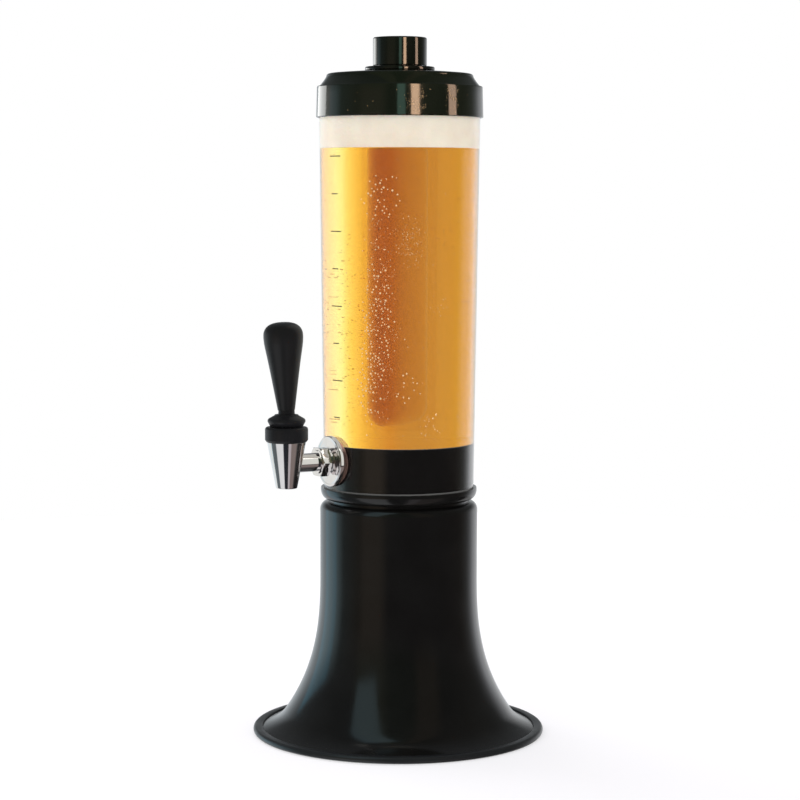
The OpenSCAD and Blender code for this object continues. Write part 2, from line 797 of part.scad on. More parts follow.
// Washer that guides the stem and holds the spring's upper end
module guide_washer() {
    color(chrome)
    at_spout() translate([0, 0, neck_z]) difference() {
        cylinder(h = guide_t, r = thread_r - rest_gap);
        translate([0, 0, -cut]) cylinder(h = guide_t + 2 * cut, r = stem_r + hole_gap);
    }
}

// Valve stem with the spring's collar, a round top and a cross hole for the pivot pin
module valve_stem() {
    stem_z = plug_z + 2;
    collar_r = spring_r + wire_d;
    color(chrome)
    at_spout() difference() {
        rotate_extrude() polygon(concat(
            [[0, stem_z], [stem_r, stem_z], [stem_r, collar_z], [collar_r, collar_z],
             [collar_r, collar_z + collar_t], [stem_r, collar_z + collar_t]],
            arc([0, pivot_z], stem_r, stem_r, 0, 90)));
        translate([-stem_d, 0, pivot_z]) rotate([0, 90, 0]) cylinder(h = 2 * stem_d, d = pin_d);
    }
}

// Silicone plug that closes the seat
module seat_plug() {
    lip_r = outlet_r + plug_gap * (seat_r - outlet_r) / seat_cone - plug_gap;
    slope = (seat_r - outlet_r) / seat_cone;
    full_z = plug_z + (plug_r - lip_r) / slope;
    color("gainsboro")
    at_spout() difference() {
        rotate_extrude() polygon([
            [0, plug_z], [lip_r, plug_z], [plug_r, full_z], [plug_r, full_z + 3.5],
            [stem_r + 1.6, plug_z + plug_len], [0, plug_z + plug_len]]);
        translate([0, 0, plug_z + 2]) cylinder(h = plug_len, d = stem_d);
    }
}

// Valve spring: one unbroken round wire between the stem's collar and the guide washer
module valve_spring() {
    sides = 6;
    per_turn = 16;
    steps = spring_n * per_turn;
    wire_r = wire_d / 2;
    z0 = spring_z + wire_r;
    rise = neck_z - wire_r - z0;
    points = [for (i = [0:steps]) for (j = [0:sides - 1])
        let (a = 360 * i / per_turn, b = 360 * j / sides, r = spring_r + wire_r * cos(b))
        [r * cos(a), r * sin(a), z0 + rise * i / steps + wire_r * sin(b)]];
    walls = [for (i = [0:steps - 1]) for (j = [0:sides - 1])
        let (k = (j + 1) % sides, a = i * sides, b = a + sides)
        each [[a + j, b + k, a + k], [a + j, b + j, b + k]]];
    ends = [[for (j = [0:sides - 1]) j], [for (j = [sides - 1:-1:0]) steps * sides + j]];
    color("silver")
    at_spout() polyhedron(points, concat(walls, ends));
}

// Pin through the stem's top, on which the lever turns
module pivot_pin() {
    color(chrome)
    at_spout() translate([-pin_half, 0, pivot_z]) rotate([0, 90, 0])
        cylinder(h = 2 * pin_half, d = pin_d);
}

// Saucer that rocks on the bonnet nut, with a slot for the stem's top
module lever_saucer() {
    ferrule_top = saucer_top + ferrule_h;
    pin_end = pin_half + rest_gap;
    color(black)
    at_spout() difference() {
        union() {
            rotate_extrude() polygon(concat(
                [[0, saucer_z], [rock_r, saucer_z]],
                arc([saucer_r - 0.9, pivot_z - 0.2], 0.9, 0.9, -45, 45, 4),
                [[handle_neck + 1.2, saucer_top - 0.8], [handle_neck, saucer_top], [0, saucer_top]]));
            lean() translate([0, 0, saucer_top - 1]) cylinder(h = ferrule_h + 1, r = handle_neck - 0.4);
        }
        translate([-slot_x, -slot_y, saucer_z - cut])
            cube([2 * slot_x, 2 * slot_y, pivot_z - saucer_z + slot_top + cut]);
        translate([-saucer_r - cut, 0, pivot_z]) rotate([0, 90, 0])
            cylinder(h = saucer_r + cut + pin_end, r = pin_d / 2 + run_gap);
        lean() translate([0, 0, stud_z]) cylinder(h = stud_len, d = stud_d);
    }
}
// The handle, its ferrule and its stud lean outwards about the top of the saucer
module lean() {
    translate([0, 0, saucer_top]) rotate([handle_lean, 0, 0]) translate([0, 0, -saucer_top]) children();
}

// Stud that joins the saucer to the handle
module handle_stud() {
    color(chrome)
    at_spout() lean() translate([0, 0, stud_z]) cylinder(h = stud_len, d = stud_d);
}

// Handle: slim neck, hollow sides and a full rounded top
module tap_handle() {
    full_z = handle_h * handle_full;
    steps = 14;
    swell = 0.045;
    roundness = 2.6;
    side = [for (i = [0:steps]) let (t = i / steps)
        [handle_neck + (handle_r - handle_neck) * (t + swell * sin(180 * pow(t, 6))), full_z * t]];
    dome = [for (a = [6:6:84])
        [handle_r * pow(cos(a), 2 / roundness), full_z + (handle_h - full_z) * pow(sin(a), 2 / roundness)]];
    color(black)
    at_spout() lean() translate([0, 0, handle_z]) difference() {
        rotate_extrude() polygon(concat([[0, 0]], side, dome, [[0, handle_h]]));
        translate([0, 0, -cut]) cylinder(h = stud_z + stud_len - handle_z + cut, d = stud_d);
    }
}

base_bell();
base_neck();
base_deck();
rim_ring();
cup_screws();
tank_cup();
tank_gasket();
clear_tube();
graduation_ticks();
beer();
foam_head();
lid();
lid_seal();
ice_tube();
ice_fill();
knob_liner();
ice_knob();
escutcheon();
outer_gasket();
inner_gasket();
lock_nut();
jam_nut();
tap_body();
bonnet_nut();
guide_washer();
valve_stem();
seat_plug();
valve_spring();
pivot_pin();
lever_saucer();
handle_stud();
tap_handle();
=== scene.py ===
# %% [markdown]
# # A beer tower dispenser
#
# The tower stands on a black bell base. A clear tapered tube holds the beer, a lift-off lid closes
# it, an ice tube hangs inside the beer, and a chrome lever tap leaves the tube low down.
#
# The solids and their places come from the CAD model, which is loaded first and never moved. This
# script makes the surfaces: smooth turned shells, clear and black plastic, chrome, beer and foam.

# %% Load the CAD model
import math

import bmesh
import bpy
from mathutils import Matrix, Quaternion, Vector, noise


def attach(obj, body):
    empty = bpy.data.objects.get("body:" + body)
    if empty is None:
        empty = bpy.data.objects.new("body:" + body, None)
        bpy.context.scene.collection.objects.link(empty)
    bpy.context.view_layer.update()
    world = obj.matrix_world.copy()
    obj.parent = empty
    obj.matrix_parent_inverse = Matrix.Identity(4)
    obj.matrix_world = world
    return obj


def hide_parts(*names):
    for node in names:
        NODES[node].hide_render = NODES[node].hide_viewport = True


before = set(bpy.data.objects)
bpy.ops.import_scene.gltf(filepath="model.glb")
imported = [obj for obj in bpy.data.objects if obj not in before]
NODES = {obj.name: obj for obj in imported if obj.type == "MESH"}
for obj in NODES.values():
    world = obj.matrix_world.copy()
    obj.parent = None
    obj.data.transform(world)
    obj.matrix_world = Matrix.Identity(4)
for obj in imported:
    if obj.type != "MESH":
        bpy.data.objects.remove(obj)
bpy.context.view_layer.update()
scene = bpy.context.scene

# %% [markdown]
# ## Camera
#
# The photograph was taken from a little above the middle of the tube, with the tap on the left and
# a bit towards the viewer. A long lens keeps the tower's sides nearly straight. The camera goes
# first.

# %% Camera
VIEW_TURN = math.radians(59.5)
VIEW_DISTANCE = 1.85
VIEW_HEIGHT = 0.432
VIEW_ROLL = math.radians(0.15)
VIEW_LENS, VIEW_SHIFT = 104.5, 0.00125
VIEW_TARGET = Vector((0, 0, 0.268))
TOWARDS_VIEWER = Vector((math.sin(VIEW_TURN), -math.cos(VIEW_TURN), 0))
VIEWERS_RIGHT = Vector((math.cos(VIEW_TURN), math.sin(VIEW_TURN), 0))


def outward(angle):
    """A level direction by its angle in degrees: 0 towards the viewer, right positive."""
    a = math.radians(angle)
    return TOWARDS_VIEWER * math.cos(a) + VIEWERS_RIGHT * math.sin(a)


camera = bpy.data.objects.new("camera", bpy.data.cameras.new("camera"))
scene.collection.objects.link(camera)
camera.location = TOWARDS_VIEWER * VIEW_DISTANCE + Vector((0, 0, VIEW_HEIGHT))
aim = (VIEW_TARGET - camera.location).to_track_quat("-Z", "Y")
camera.rotation_euler = (aim @ Quaternion((0, 0, 1), VIEW_ROLL)).to_euler()
camera.data.lens = VIEW_LENS
camera.data.shift_x = VIEW_SHIFT
scene.camera = camera
scene.view_settings.view_transform = "Standard"
print("camera at", [round(v, 3) for v in camera.location])

# %% [markdown]
# ## Shaping helpers
#
# Most of the tower is turned round one axis, so one lathe makes its shells. It takes an outline of
# radius and height in millimetres. Arcs round the outline's corners, because no moulded edge is
# truly sharp, and the small round is what catches the light.

# %% Arcs and new pieces
def arc(cx, cz, rx, rz, a0, a1, steps=10):
    """Points on an elliptic arc, angles in degrees."""
    angles = [math.radians(a0 + (a1 - a0) * k / steps) for k in range(steps + 1)]
    return [(cx + rx * math.cos(a), cz + rz * math.sin(a)) for a in angles]


def add_piece(name, mesh):
    """Put a mesh in the scene as an object that isn't moved, turned or scaled."""
    piece = bpy.data.objects.new(name, mesh)
    scene.collection.objects.link(piece)
    return piece


def smooth_piece(name, shape, sharp):
    """Make an object of a bmesh, smooth but for the edges that bend more than sharp degrees."""
    mesh = bpy.data.meshes.new(name)
    shape.to_mesh(mesh)
    shape.free()
    mesh.shade_smooth()
    mesh.set_sharp_from_angle(angle=math.radians(sharp))
    print(name, len(mesh.polygons), "faces")
    return add_piece(name, mesh)

# %% The lathe
ON_AXIS = 1e-6


def lathe(name, outline, turns=160, closed=True, sharp=32):
    """Turn an outline in millimetres round the tower's axis into a smooth mesh in metres."""
    shell = bmesh.new()
    rings = []
    for r, z in outline:
        if r < ON_AXIS:
            rings.append([shell.verts.new((0, 0, z / 1000))])
            continue
        rings.append([shell.verts.new((r / 1000 * math.cos(a), r / 1000 * math.sin(a), z / 1000))
                      for a in (2 * math.pi * k / turns for k in range(turns))])
    pairs = list(zip(rings, rings[1:])) + ([(rings[-1], rings[0])] if closed else [])
    for low, high in pairs:
        for k in range(turns):
            corners = [low[k % len(low)], low[(k + 1) % len(low)],
                       high[(k + 1) % len(high)], high[k % len(high)]]
            corners = list(dict.fromkeys(corners))
            if len(corners) > 2:
                shell.faces.new(corners)
    return smooth_piece(name, shell, sharp)

# %% [markdown]
# A CAD mesh arrives as loose triangles with one normal for each flat band, so a turned piece would
# look like stacked rings. A small Geometry Nodes modifier leaves the mesh as it is, welds the
# result, and shades it smooth everywhere but at true edges.

# %% Smooth shading for the CAD pieces
def smooth_tree():
    """A tree that welds a CAD mesh and shades it smooth between its sharp edges."""
    tree = bpy.data.node_groups.new("smooth_cad", "GeometryNodeTree")
    tree.interface.new_socket("Geometry", in_out="INPUT", socket_type="NodeSocketGeometry")
    for name, value in (("Weld distance", 0.00001), ("Sharp angle", math.radians(30))):
        tree.interface.new_socket(
            name, in_out="INPUT", socket_type="NodeSocketFloat").default_value = value
    tree.interface.new_socket("Geometry", in_out="OUTPUT", socket_type="NodeSocketGeometry")
    n, link = tree.nodes, tree.links.new
    source = n.new("NodeGroupInput")
    result = n.new("NodeGroupOutput")
    drop = n.new("GeometryNodeRemoveAttribute")
    drop.inputs["Name"].default_value = "custom_normal"
    merge = n.new("GeometryNodeMergeByDistance")
    faces = n.new("GeometryNodeSetShadeSmooth")
    edges = n.new("GeometryNodeSetShadeSmooth")
    edges.domain = "EDGE"
    bend = n.new("GeometryNodeInputMeshEdgeAngle")
    soft = n.new("FunctionNodeCompare")
    soft.operation = "LESS_THAN"
    link(source.outputs["Geometry"], drop.inputs["Geometry"])
    link(drop.outputs["Geometry"], merge.inputs["Geometry"])
    link(source.outputs["Weld distance"], merge.inputs["Distance"])
    link(merge.outputs["Geometry"], faces.inputs["Geometry"])
    link(faces.outputs["Geometry"], edges.inputs["Geometry"])
    link(bend.outputs["Unsigned Angle"], soft.inputs["A"])
    link(source.outputs["Sharp angle"], soft.inputs["B"])
    link(soft.outputs["Result"], edges.inputs["Shade Smooth"])
    link(edges.outputs["Geometry"], result.inputs["Geometry"])
    return tree


SMOOTH = smooth_tree()


def dress(node, material, edge=0.0):
    """Give a CAD piece its material, smooth shading, and a small round on its edges (mm)."""
    piece = NODES[node]
    piece.data.materials.clear()
    piece.data.materials.append(material)
    piece.modifiers.new("smooth", "NODES").node_group = SMOOTH
    if edge:
        bevel = piece.modifiers.new("edge", "BEVEL")
        bevel.width = edge / 1000
        bevel.segments = 2
        bevel.limit_method = "ANGLE"
        bevel.angle_limit = math.radians(35)
    return piece

# %% [markdown]
# ## Finishes
#
# Moulded plastic is never one flat colour: its gloss changes a little from place to place and its
# skin has a faint ripple. One helper builds such a finish from two noise patterns on object
# coordinates, and each material below only gives it its own numbers.

# %% Helpers for all finishes
def new_material(name):
    """A material with its nodes and its link function."""
    material = bpy.data.materials.new(name)
    material.use_nodes = True
    return material, material.node_tree.nodes, material.node_tree.links.new


def mixed(n, link, share, first, second):
    """Mix two shaders: a share of 0 gives the first, 1 gives the second."""
    mix = n.new("ShaderNodeMixShader")
    link(share, mix.inputs["Fac"])
    link(first, mix.inputs[1])
    link(second, mix.inputs[2])
    return mix.outputs["Shader"]


def dim_inside(n, link, colour, density):
    """Take light away inside a piece: the further it goes, the more it takes on the colour."""
    depth = n.new("ShaderNodeVolumeAbsorption")
    depth.inputs["Color"].default_value = (*colour, 1)
    depth.inputs["Density"].default_value = density
    link(depth.outputs["Volume"], n["Material Output"].inputs["Volume"])

# %% Helper for solid finishes
def finish(name, colour, rough, spread=0.03, scale=35.0, ripple=0.00004, ripple_scale=160.0,
           tint=0.12, **sockets):
    """A Principled material with patchy gloss, a slightly uneven colour and a fine ripple."""
    material, n, link = new_material(name)
    shader = n["Principled BSDF"]
    place = n.new("ShaderNodeTexCoord")
    patches = n.new("ShaderNodeTexNoise")
    patches.inputs["Scale"].default_value = scale
    patches.inputs["Detail"].default_value = 4
    link(place.outputs["Object"], patches.inputs["Vector"])
    gloss = n.new("ShaderNodeMapRange")
    gloss.inputs["From Min"].default_value = 0.3
    gloss.inputs["From Max"].default_value = 0.7
    gloss.inputs["To Min"].default_value = max(0.01, rough - spread)
    gloss.inputs["To Max"].default_value = rough + spread
    link(patches.outputs["Fac"], gloss.inputs["Value"])
    link(gloss.outputs["Result"], shader.inputs["Roughness"])
    shades = n.new("ShaderNodeValToRGB")
    for element, spot, change in zip(
            shades.color_ramp.elements, (0.35, 0.65), (1 - tint, 1 + tint)):
        element.position = spot
        element.color = (*[min(1, c * change) for c in colour], 1)
    link(patches.outputs["Fac"], shades.inputs["Fac"])
    link(shades.outputs["Color"], shader.inputs["Base Color"])
    grain = n.new("ShaderNodeTexNoise")
    grain.inputs["Scale"].default_value = ripple_scale
    grain.inputs["Detail"].default_value = 2
    link(place.outputs["Object"], grain.inputs["Vector"])
    bump = n.new("ShaderNodeBump")
    bump.inputs["Distance"].default_value = ripple
    link(grain.outputs["Fac"], bump.inputs["Height"])
    link(bump.outputs["Normal"], shader.inputs["Normal"])
    for socket, value in sockets.items():
        shader.inputs[socket.replace("_", " ")].default_value = value
    return material

# %% Solid finishes
base_black = finish("base_black", (0.0042, 0.0040, 0.0038), 0.15, 0.04, ripple=0.00002)
rim_rubber = finish("rim_rubber", (0.010, 0.011, 0.012), 0.34, 0.06)
lid_black = finish("lid_black", (0.0045, 0.0065, 0.0040), 0.10, 0.03, ripple=0.00002)
collar_black = finish("collar_black", (0.0040, 0.0050, 0.0040), 0.08, 0.03, ripple=0.00002)
knob_black = finish("knob_black", (0.0040, 0.0058, 0.0040), 0.09, 0.03, ripple=0.00002)
handle_black = finish("handle_black", (0.0085, 0.0085, 0.0090), 0.34, 0.06, ripple_scale=900,
                      Specular_IOR_Level=0.3)
bonnet_black = finish("bonnet_black", (0.0095, 0.0095, 0.0110), 0.40, 0.06, ripple_scale=900,
                      Specular_IOR_Level=0.3)
ink_black = finish("ink_black", (0.080, 0.045, 0.025), 0.6, 0.1)
gasket_grey = finish("gasket_grey", (0.16, 0.16, 0.155), 0.55, 0.08)
silicone_pink = finish("silicone_pink", (0.86, 0.52, 0.42), 0.35, 0.06)
silicone_white = finish("silicone_white", (0.78, 0.78, 0.75), 0.4, 0.06, Subsurface_Weight=0.2)
liner_white = finish("liner_white", (0.74, 0.74, 0.71), 0.5, 0.08)
chrome_bright = finish("chrome_bright", (0.84, 0.81, 0.80), 0.07, 0.02, scale=60, tint=0.03,
                       ripple=0.00001, Metallic=1.0)
screw_steel = finish("screw_steel", (0.46, 0.46, 0.47), 0.28, 0.08, scale=200, Metallic=1.0)
spring_steel = finish("spring_steel", (0.56, 0.56, 0.57), 0.22, 0.06, scale=200, Metallic=1.0)
print("solid finishes made")

# %% [markdown]
# The gasket behind the tap's plate is milky pink silicone. Its pink is painted backlight: lit from
# behind through the beer it shows, over the black cup below it hardly at all, so it fades out over
# the height of the cup's rim.

# %% Gasket with painted backlight
n, link = silicone_pink.node_tree.nodes, silicone_pink.node_tree.links.new
rise = n.new("ShaderNodeSeparateXYZ")
link(n["Texture Coordinate"].outputs["Object"], rise.inputs["Vector"])
# Painted backlight: the gasket is opaque pink above the cup's rim and nearly clear below it.
painted_backlight = n.new("ShaderNodeMapRange")
for socket, value in (("From Min", 0.230), ("From Max", 0.235), ("To Min", 0.06), ("To Max", 0.42)):
    painted_backlight.inputs[socket].default_value = value
link(rise.outputs["Z"], painted_backlight.inputs["Value"])
link(painted_backlight.outputs["Result"], n["Principled BSDF"].inputs["Alpha"])
print("gasket made milky")

# %% [markdown]
# ## Clear finishes
#
# A thin clear wall hardly bends light, so the tube and the ice tube are see-through sheets with a
# mirror on top that grows towards their edges.

# %% Clear walls
def clear_wall(name, colour, rough, mirror, facing_share=0.035, edge_share=0.9):
    """A see-through sheet with a mirror that is faint in front and strong at the edges."""
    material, n, link = new_material(name)
    shader = n["Principled BSDF"]
    shader.inputs["Base Color"].default_value = (*mirror, 1)
    shader.inputs["Metallic"].default_value = 1.0
    shader.inputs["Roughness"].default_value = rough
    see = n.new("ShaderNodeBsdfTransparent")
    see.inputs["Color"].default_value = (*colour, 1)
    facing = n.new("ShaderNodeLayerWeight")
    facing.inputs["Blend"].default_value = 0.5
    steep = n.new("ShaderNodeMath")
    steep.operation = "POWER"
    steep.inputs[1].default_value = 4.5
    link(facing.outputs["Facing"], steep.inputs[0])
    share = n.new("ShaderNodeMath")
    share.operation = "MULTIPLY_ADD"
    share.inputs[1].default_value = edge_share
    share.inputs[2].default_value = facing_share
    link(steep.outputs["Value"], share.inputs[0])
    wall = mixed(n, link, share.outputs["Value"], see.outputs["BSDF"], shader.outputs["BSDF"])
    link(wall, n["Material Output"].inputs["Surface"])
    return material


clear_acrylic = clear_wall("clear_acrylic", (0.985, 0.98, 0.97), 0.04, (0.9, 0.9, 0.9))
smoke_clear = clear_wall("smoke_clear", (0.993, 0.975, 0.95), 0.05, (0.5, 0.5, 0.5), 0.004, 0.05)

# %% [markdown]
# The beer is a real lens. It bends light like water and takes away blue and green on the way
# through, so it is gold at the side and brown behind the ice tube. A mirror outside the tower sees
# a painted reflection of it: for mirror rays the beer is a glowing pale grey wall, because the
# chrome in the photograph has no orange in it. A drop of dew is the same water, with painted light
# on its skin: a warm, slightly cloudy colour stands in for the warm light that clear drops catch.

# %% Beer, dew and foam
WATER_IOR = 1.33


def liquid(name, colour=(1, 1, 1), rough=0.0, clear=1.0):
    """Water with a surface colour, and the share of light that goes through."""
    material, n, link = new_material(name)
    for socket, value in (("Base Color", (*colour, 1)), ("Transmission Weight", clear),
                          ("Roughness", rough), ("IOR", WATER_IOR)):
        n["Principled BSDF"].inputs[socket].default_value = value
    return material, n, link


beer_gold, n, link = liquid("beer_gold")
dim_inside(n, link, (0.878, 0.632, 0.013), 31.0)
# Painted reflection: mirror rays from outside see the beer as this pale grey glow, not as beer.
path = n.new("ShaderNodeLightPath")
side = n.new("ShaderNodeNewGeometry")
painted_reflection_share = n.new("ShaderNodeMath")
painted_reflection_share.operation = "SUBTRACT"
painted_reflection_share.use_clamp = True
link(path.outputs["Is Glossy Ray"], painted_reflection_share.inputs[0])
link(side.outputs["Backfacing"], painted_reflection_share.inputs[1])
pale = n.new("ShaderNodeEmission")
pale.inputs["Color"].default_value = (0.60, 0.60, 0.56, 1)
skin = mixed(n, link, painted_reflection_share.outputs["Value"], n["Principled BSDF"].outputs["BSDF"],
             pale.outputs["Emission"])
link(skin, n["Material Output"].inputs["Surface"])
beer_gold.cycles.emission_sampling = "NONE"

# Painted light: the warm, slightly cloudy skin of the drops stands in for the light they catch.
dew_water = liquid("dew_water", (1.0, 0.72, 0.44), 0.04, 0.80)[0]
foam_cream = finish("foam_cream", (0.98, 0.825, 0.69), 0.6, 0.1, scale=45, ripple=0.0006,
                    ripple_scale=420, tint=0.05, Subsurface_Weight=0.25)
print("beer, dew and foam made")

# %% [markdown]
# The ice is cloudy, so its skin doesn't have to bend light. It refracts with an index of 1 and
# isn't plainly transparent, because a ray may cross only a few plainly transparent skins, and the
# walls round the ice use those up. Its tint is painted shade: fitted to the brown column in the
# photograph, it is redder than real ice would be.

# %% Ice
def ice_with_painted_shade():
    """See-through skin round a cloudy inside that dims light with depth, as painted shade."""
    material, n, link = new_material("ice_white")
    shader = n["Principled BSDF"]
    shader.inputs["Base Color"].default_value = (0.72, 0.78, 0.82, 1)
    shader.inputs["Roughness"].default_value = 0.25
    see = n.new("ShaderNodeBsdfRefraction")
    see.inputs["IOR"].default_value = 1.0
    see.inputs["Roughness"].default_value = 0.0
    edge = n.new("ShaderNodeLayerWeight")
    edge.inputs["Blend"].default_value = 0.3
    thin = n.new("ShaderNodeMath")
    thin.operation = "MULTIPLY"
    thin.inputs[1].default_value = 0.10
    link(edge.outputs["Facing"], thin.inputs[0])
    skin = mixed(n, link, thin.outputs["Value"], see.outputs["BSDF"], shader.outputs["BSDF"])
    link(skin, n["Material Output"].inputs["Surface"])
    # Painted shade: this reddish-brown tint darkens the beer seen through the ice.
    dim_inside(n, link, (0.61, 0.22, 0.24), 60.0)
    return material


ice_white = ice_with_painted_shade()
print("ice made")

# %% [markdown]
# ## The base
#
# The base is a bell: straight neck, then a flare like a trumpet's, then a last curl out to the ring
# round its foot. The CAD solid has the same curve in coarse steps, so a finer turned shell stands
# for it.

# %% Base shell
NECK_R, FLARE_TOP, EDGE_TOP = 63.0, 132.0, 4.2
FLARE_RUN, FLARE_POWER = 38, 2.8
CURL_RUN, CURL_HEIGHT, CURL_POWER = 8.5, 14, 3
BASE_H, BASE_WALL, POCKET_Z, SOCKET_R = 187.2, 2.6, 175.2, 50.4
FOOT_R, FOOT_Z = 113.5, 1.6
SHOULDER = 6.4


def flare(z, inwards=0.0):
    """A point of the bell's outside at a height, moved inwards across the wall."""
    tall = FLARE_TOP - EDGE_TOP
    u = max(0.0, (FLARE_TOP - z) / tall)
    c = max(0.0, 1 - (z - EDGE_TOP) / CURL_HEIGHT)
    r = NECK_R + FLARE_RUN * u ** FLARE_POWER + CURL_RUN * c ** CURL_POWER
    slope = (-FLARE_RUN * FLARE_POWER * u ** (FLARE_POWER - 1) / tall
             - CURL_POWER * CURL_RUN * c ** (CURL_POWER - 1) / CURL_HEIGHT)
    k = inwards / math.sqrt(1 + slope * slope)
    return r - k, z + slope * k


heights = [EDGE_TOP + (FLARE_TOP - EDGE_TOP) * (k / 60) ** 1.6 for k in range(61)]
base_outline = (
    [(FOOT_R, FOOT_Z), (FOOT_R, EDGE_TOP)]
    + [flare(z) for z in heights]
    + arc(NECK_R - SHOULDER, BASE_H - SHOULDER, SHOULDER, SHOULDER, 0, 90)
    + [(SOCKET_R, BASE_H), (SOCKET_R, POCKET_Z), (0, POCKET_Z), (0, POCKET_Z - BASE_WALL),
       (SOCKET_R + BASE_WALL, POCKET_Z - BASE_WALL), (SOCKET_R + BASE_WALL, BASE_H - BASE_WALL)]
    + arc(NECK_R - SHOULDER, BASE_H - SHOULDER, SHOULDER - BASE_WALL, SHOULDER - BASE_WALL, 90, 0)
    + [flare(z, BASE_WALL) for z in reversed(heights)])
base_shell = lathe("base_shell", base_outline, turns=200)
base_shell.data.materials.append(base_black)
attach(base_shell, "root")
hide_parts("base_bell", "base_neck", "base_deck")

# %% Dressed CAD pieces of the base
dress("rim_ring", rim_rubber)
dress("cup_screws", screw_steel, 0.2)
dress("tank_cup", base_black)
dress("tank_gasket", gasket_grey)
print("base dressed")

# %% [markdown]
# ## Beer and foam
#
# The clear wall magnifies the beer, so it seems to fill the tube out to its outer face. The beer's
# mesh therefore goes out to that face, and the tube is only a thin mirror on it. Below the rim of
# the black cup nothing of the beer shows, so its mesh stops there.

# %% Beer
TUBE_Z, TUBE_TOP, TUBE_R, TUBE_SPREAD = 199.5, 510.1, 59.9, 4.1
CUP_Z, FILL_Z, FOAM_Z = 230.5, 467.8, 496.3
ICE_Z, SEAT_Z, ICE_R = 245.5, 528.9, 22
SKIN = 0.15
BEER_Z = CUP_Z + 4.2


def tube_r(z):
    return TUBE_R + TUBE_SPREAD * (z - TUBE_Z) / (TUBE_TOP - TUBE_Z)


def tank_r(z):
    return tube_r(z) - SKIN


def ice_r(z):
    return ICE_R + (z - ICE_Z) / (SEAT_Z - ICE_Z)


beer_outline = [(0, BEER_Z), (tank_r(BEER_Z), BEER_Z), (tank_r(FILL_Z), FILL_Z), (0, FILL_Z)]
beer = lathe("beer_body", beer_outline, turns=256, closed=False, sharp=40)
beer.data.materials.append(beer_gold)
beer.visible_shadow = False
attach(beer, "root")
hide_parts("beer")

# %% [markdown]
# The clear wall magnifies the black cup in the same way, so a black skirt fills the wall as high as
# the cup's rim.

# %% The cup's skirt
skirt_outline = [(tank_r(TUBE_Z) - 3, TUBE_Z + 0.2), (tank_r(TUBE_Z), TUBE_Z + 0.2),
                 (tank_r(CUP_Z), CUP_Z + 3.4), (tank_r(CUP_Z) - 0.6, CUP_Z + 4.0),
                 (tank_r(CUP_Z) - 3, CUP_Z + 4.0)]
skirt = lathe("cup_skirt", skirt_outline, turns=200)
skirt.data.materials.append(base_black)
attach(skirt, "root")

# %% [markdown]
# The foam is a thick ring round the ice tube. Noise lifts its top into soft heaps.

# %% Foam
hole_r = ice_r(FOAM_Z) + 0.3
foam_outline = (
    [(hole_r, FILL_Z + SKIN), (tank_r(FILL_Z), FILL_Z + SKIN)]
    + [(tank_r(FILL_Z + 2 * k), FILL_Z + 2 * k) for k in range(1, 14)]
    + [(tank_r(FOAM_Z) - 1.5, FOAM_Z - 0.4)]
    + [(60 - 2.4 * k, FOAM_Z - 0.4) for k in range(15)]
    + [(hole_r, FOAM_Z - 1)] + [(hole_r, FOAM_Z - 4 * k) for k in range(1, 7)])
foam = lathe("foam_body", foam_outline, sharp=50)
HEAPS_FROM = 0.494
for vertex in foam.data.vertices:
    spot = vertex.co
    if spot.z > HEAPS_FROM:
        spot.z += 0.0018 * (noise.noise(spot * 90) - 0.8) + 0.0006 * noise.noise(spot * 320)
foam.data.materials.append(foam_cream)
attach(foam, "root")
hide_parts("foam_head")

# %% [markdown]
# The tube, the lid and the knob keep their CAD shapes. The ticks are printed on the outside of the
# tube, and the beer would show them a second time, so only the camera sees them.

# %% Tube, ticks, lid and knob
dress("clear_tube", clear_acrylic).visible_shadow = False
ticks = dress("graduation_ticks", ink_black)
ticks.visible_glossy = False
ticks.visible_transmission = False
dress("lid", lid_black)
dress("lid_seal", gasket_grey)
dress("knob_liner", liner_white, 0.15)
dress("ice_knob", knob_black, 0.4)
print("tank dressed")

# %% [markdown]
# ## Ice tube and ice
#
# The ice tube is smoky clear plastic up to the lid and then a thick black collar that rests in the
# lid's mouth. The ice in it is a smooth cloudy wedge that leans on one side and holds light back:
# its lean and tint are painted shade, which makes the brown column in the beer darker on its left.

# %% Ice tube
SLEEVE_TOP, SLEEVE_ROUND, COLLAR_TOP = 520, 9, 548.6
sleeve_outline = (
    [(0, ICE_Z)]
    + arc(ICE_R - SLEEVE_ROUND, ICE_Z + SLEEVE_ROUND, SLEEVE_ROUND, SLEEVE_ROUND, -90, 0, 8)
    + [(ice_r(SLEEVE_TOP), SLEEVE_TOP), (0, SLEEVE_TOP)])
sleeve = lathe("ice_sleeve", sleeve_outline, closed=False)
sleeve.data.materials.append(smoke_clear)
sleeve.visible_shadow = False
sleeve.visible_glossy = False
collar_outline = (
    [(ice_r(SLEEVE_TOP) - 2, SLEEVE_TOP), (ice_r(SLEEVE_TOP), SLEEVE_TOP),
     (ice_r(SEAT_Z), SEAT_Z + 0.2), (27.1, SEAT_Z + 0.2), (27.6, SEAT_Z + 0.7),
     (27.6, SEAT_Z + 2.3), (27.2, SEAT_Z + 3), (26.4, SEAT_Z + 3.2), (18, SEAT_Z + 3.2),
     (18, COLLAR_TOP), (15.6, COLLAR_TOP), (15.6, SEAT_Z + 2), (ice_r(SEAT_Z) - 2, SEAT_Z - 2)])
collar = lathe("ice_collar", collar_outline)
collar.data.materials.append(collar_black)
for piece in (sleeve, collar):
    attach(piece, "ice_tube")
    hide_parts("ice_tube")
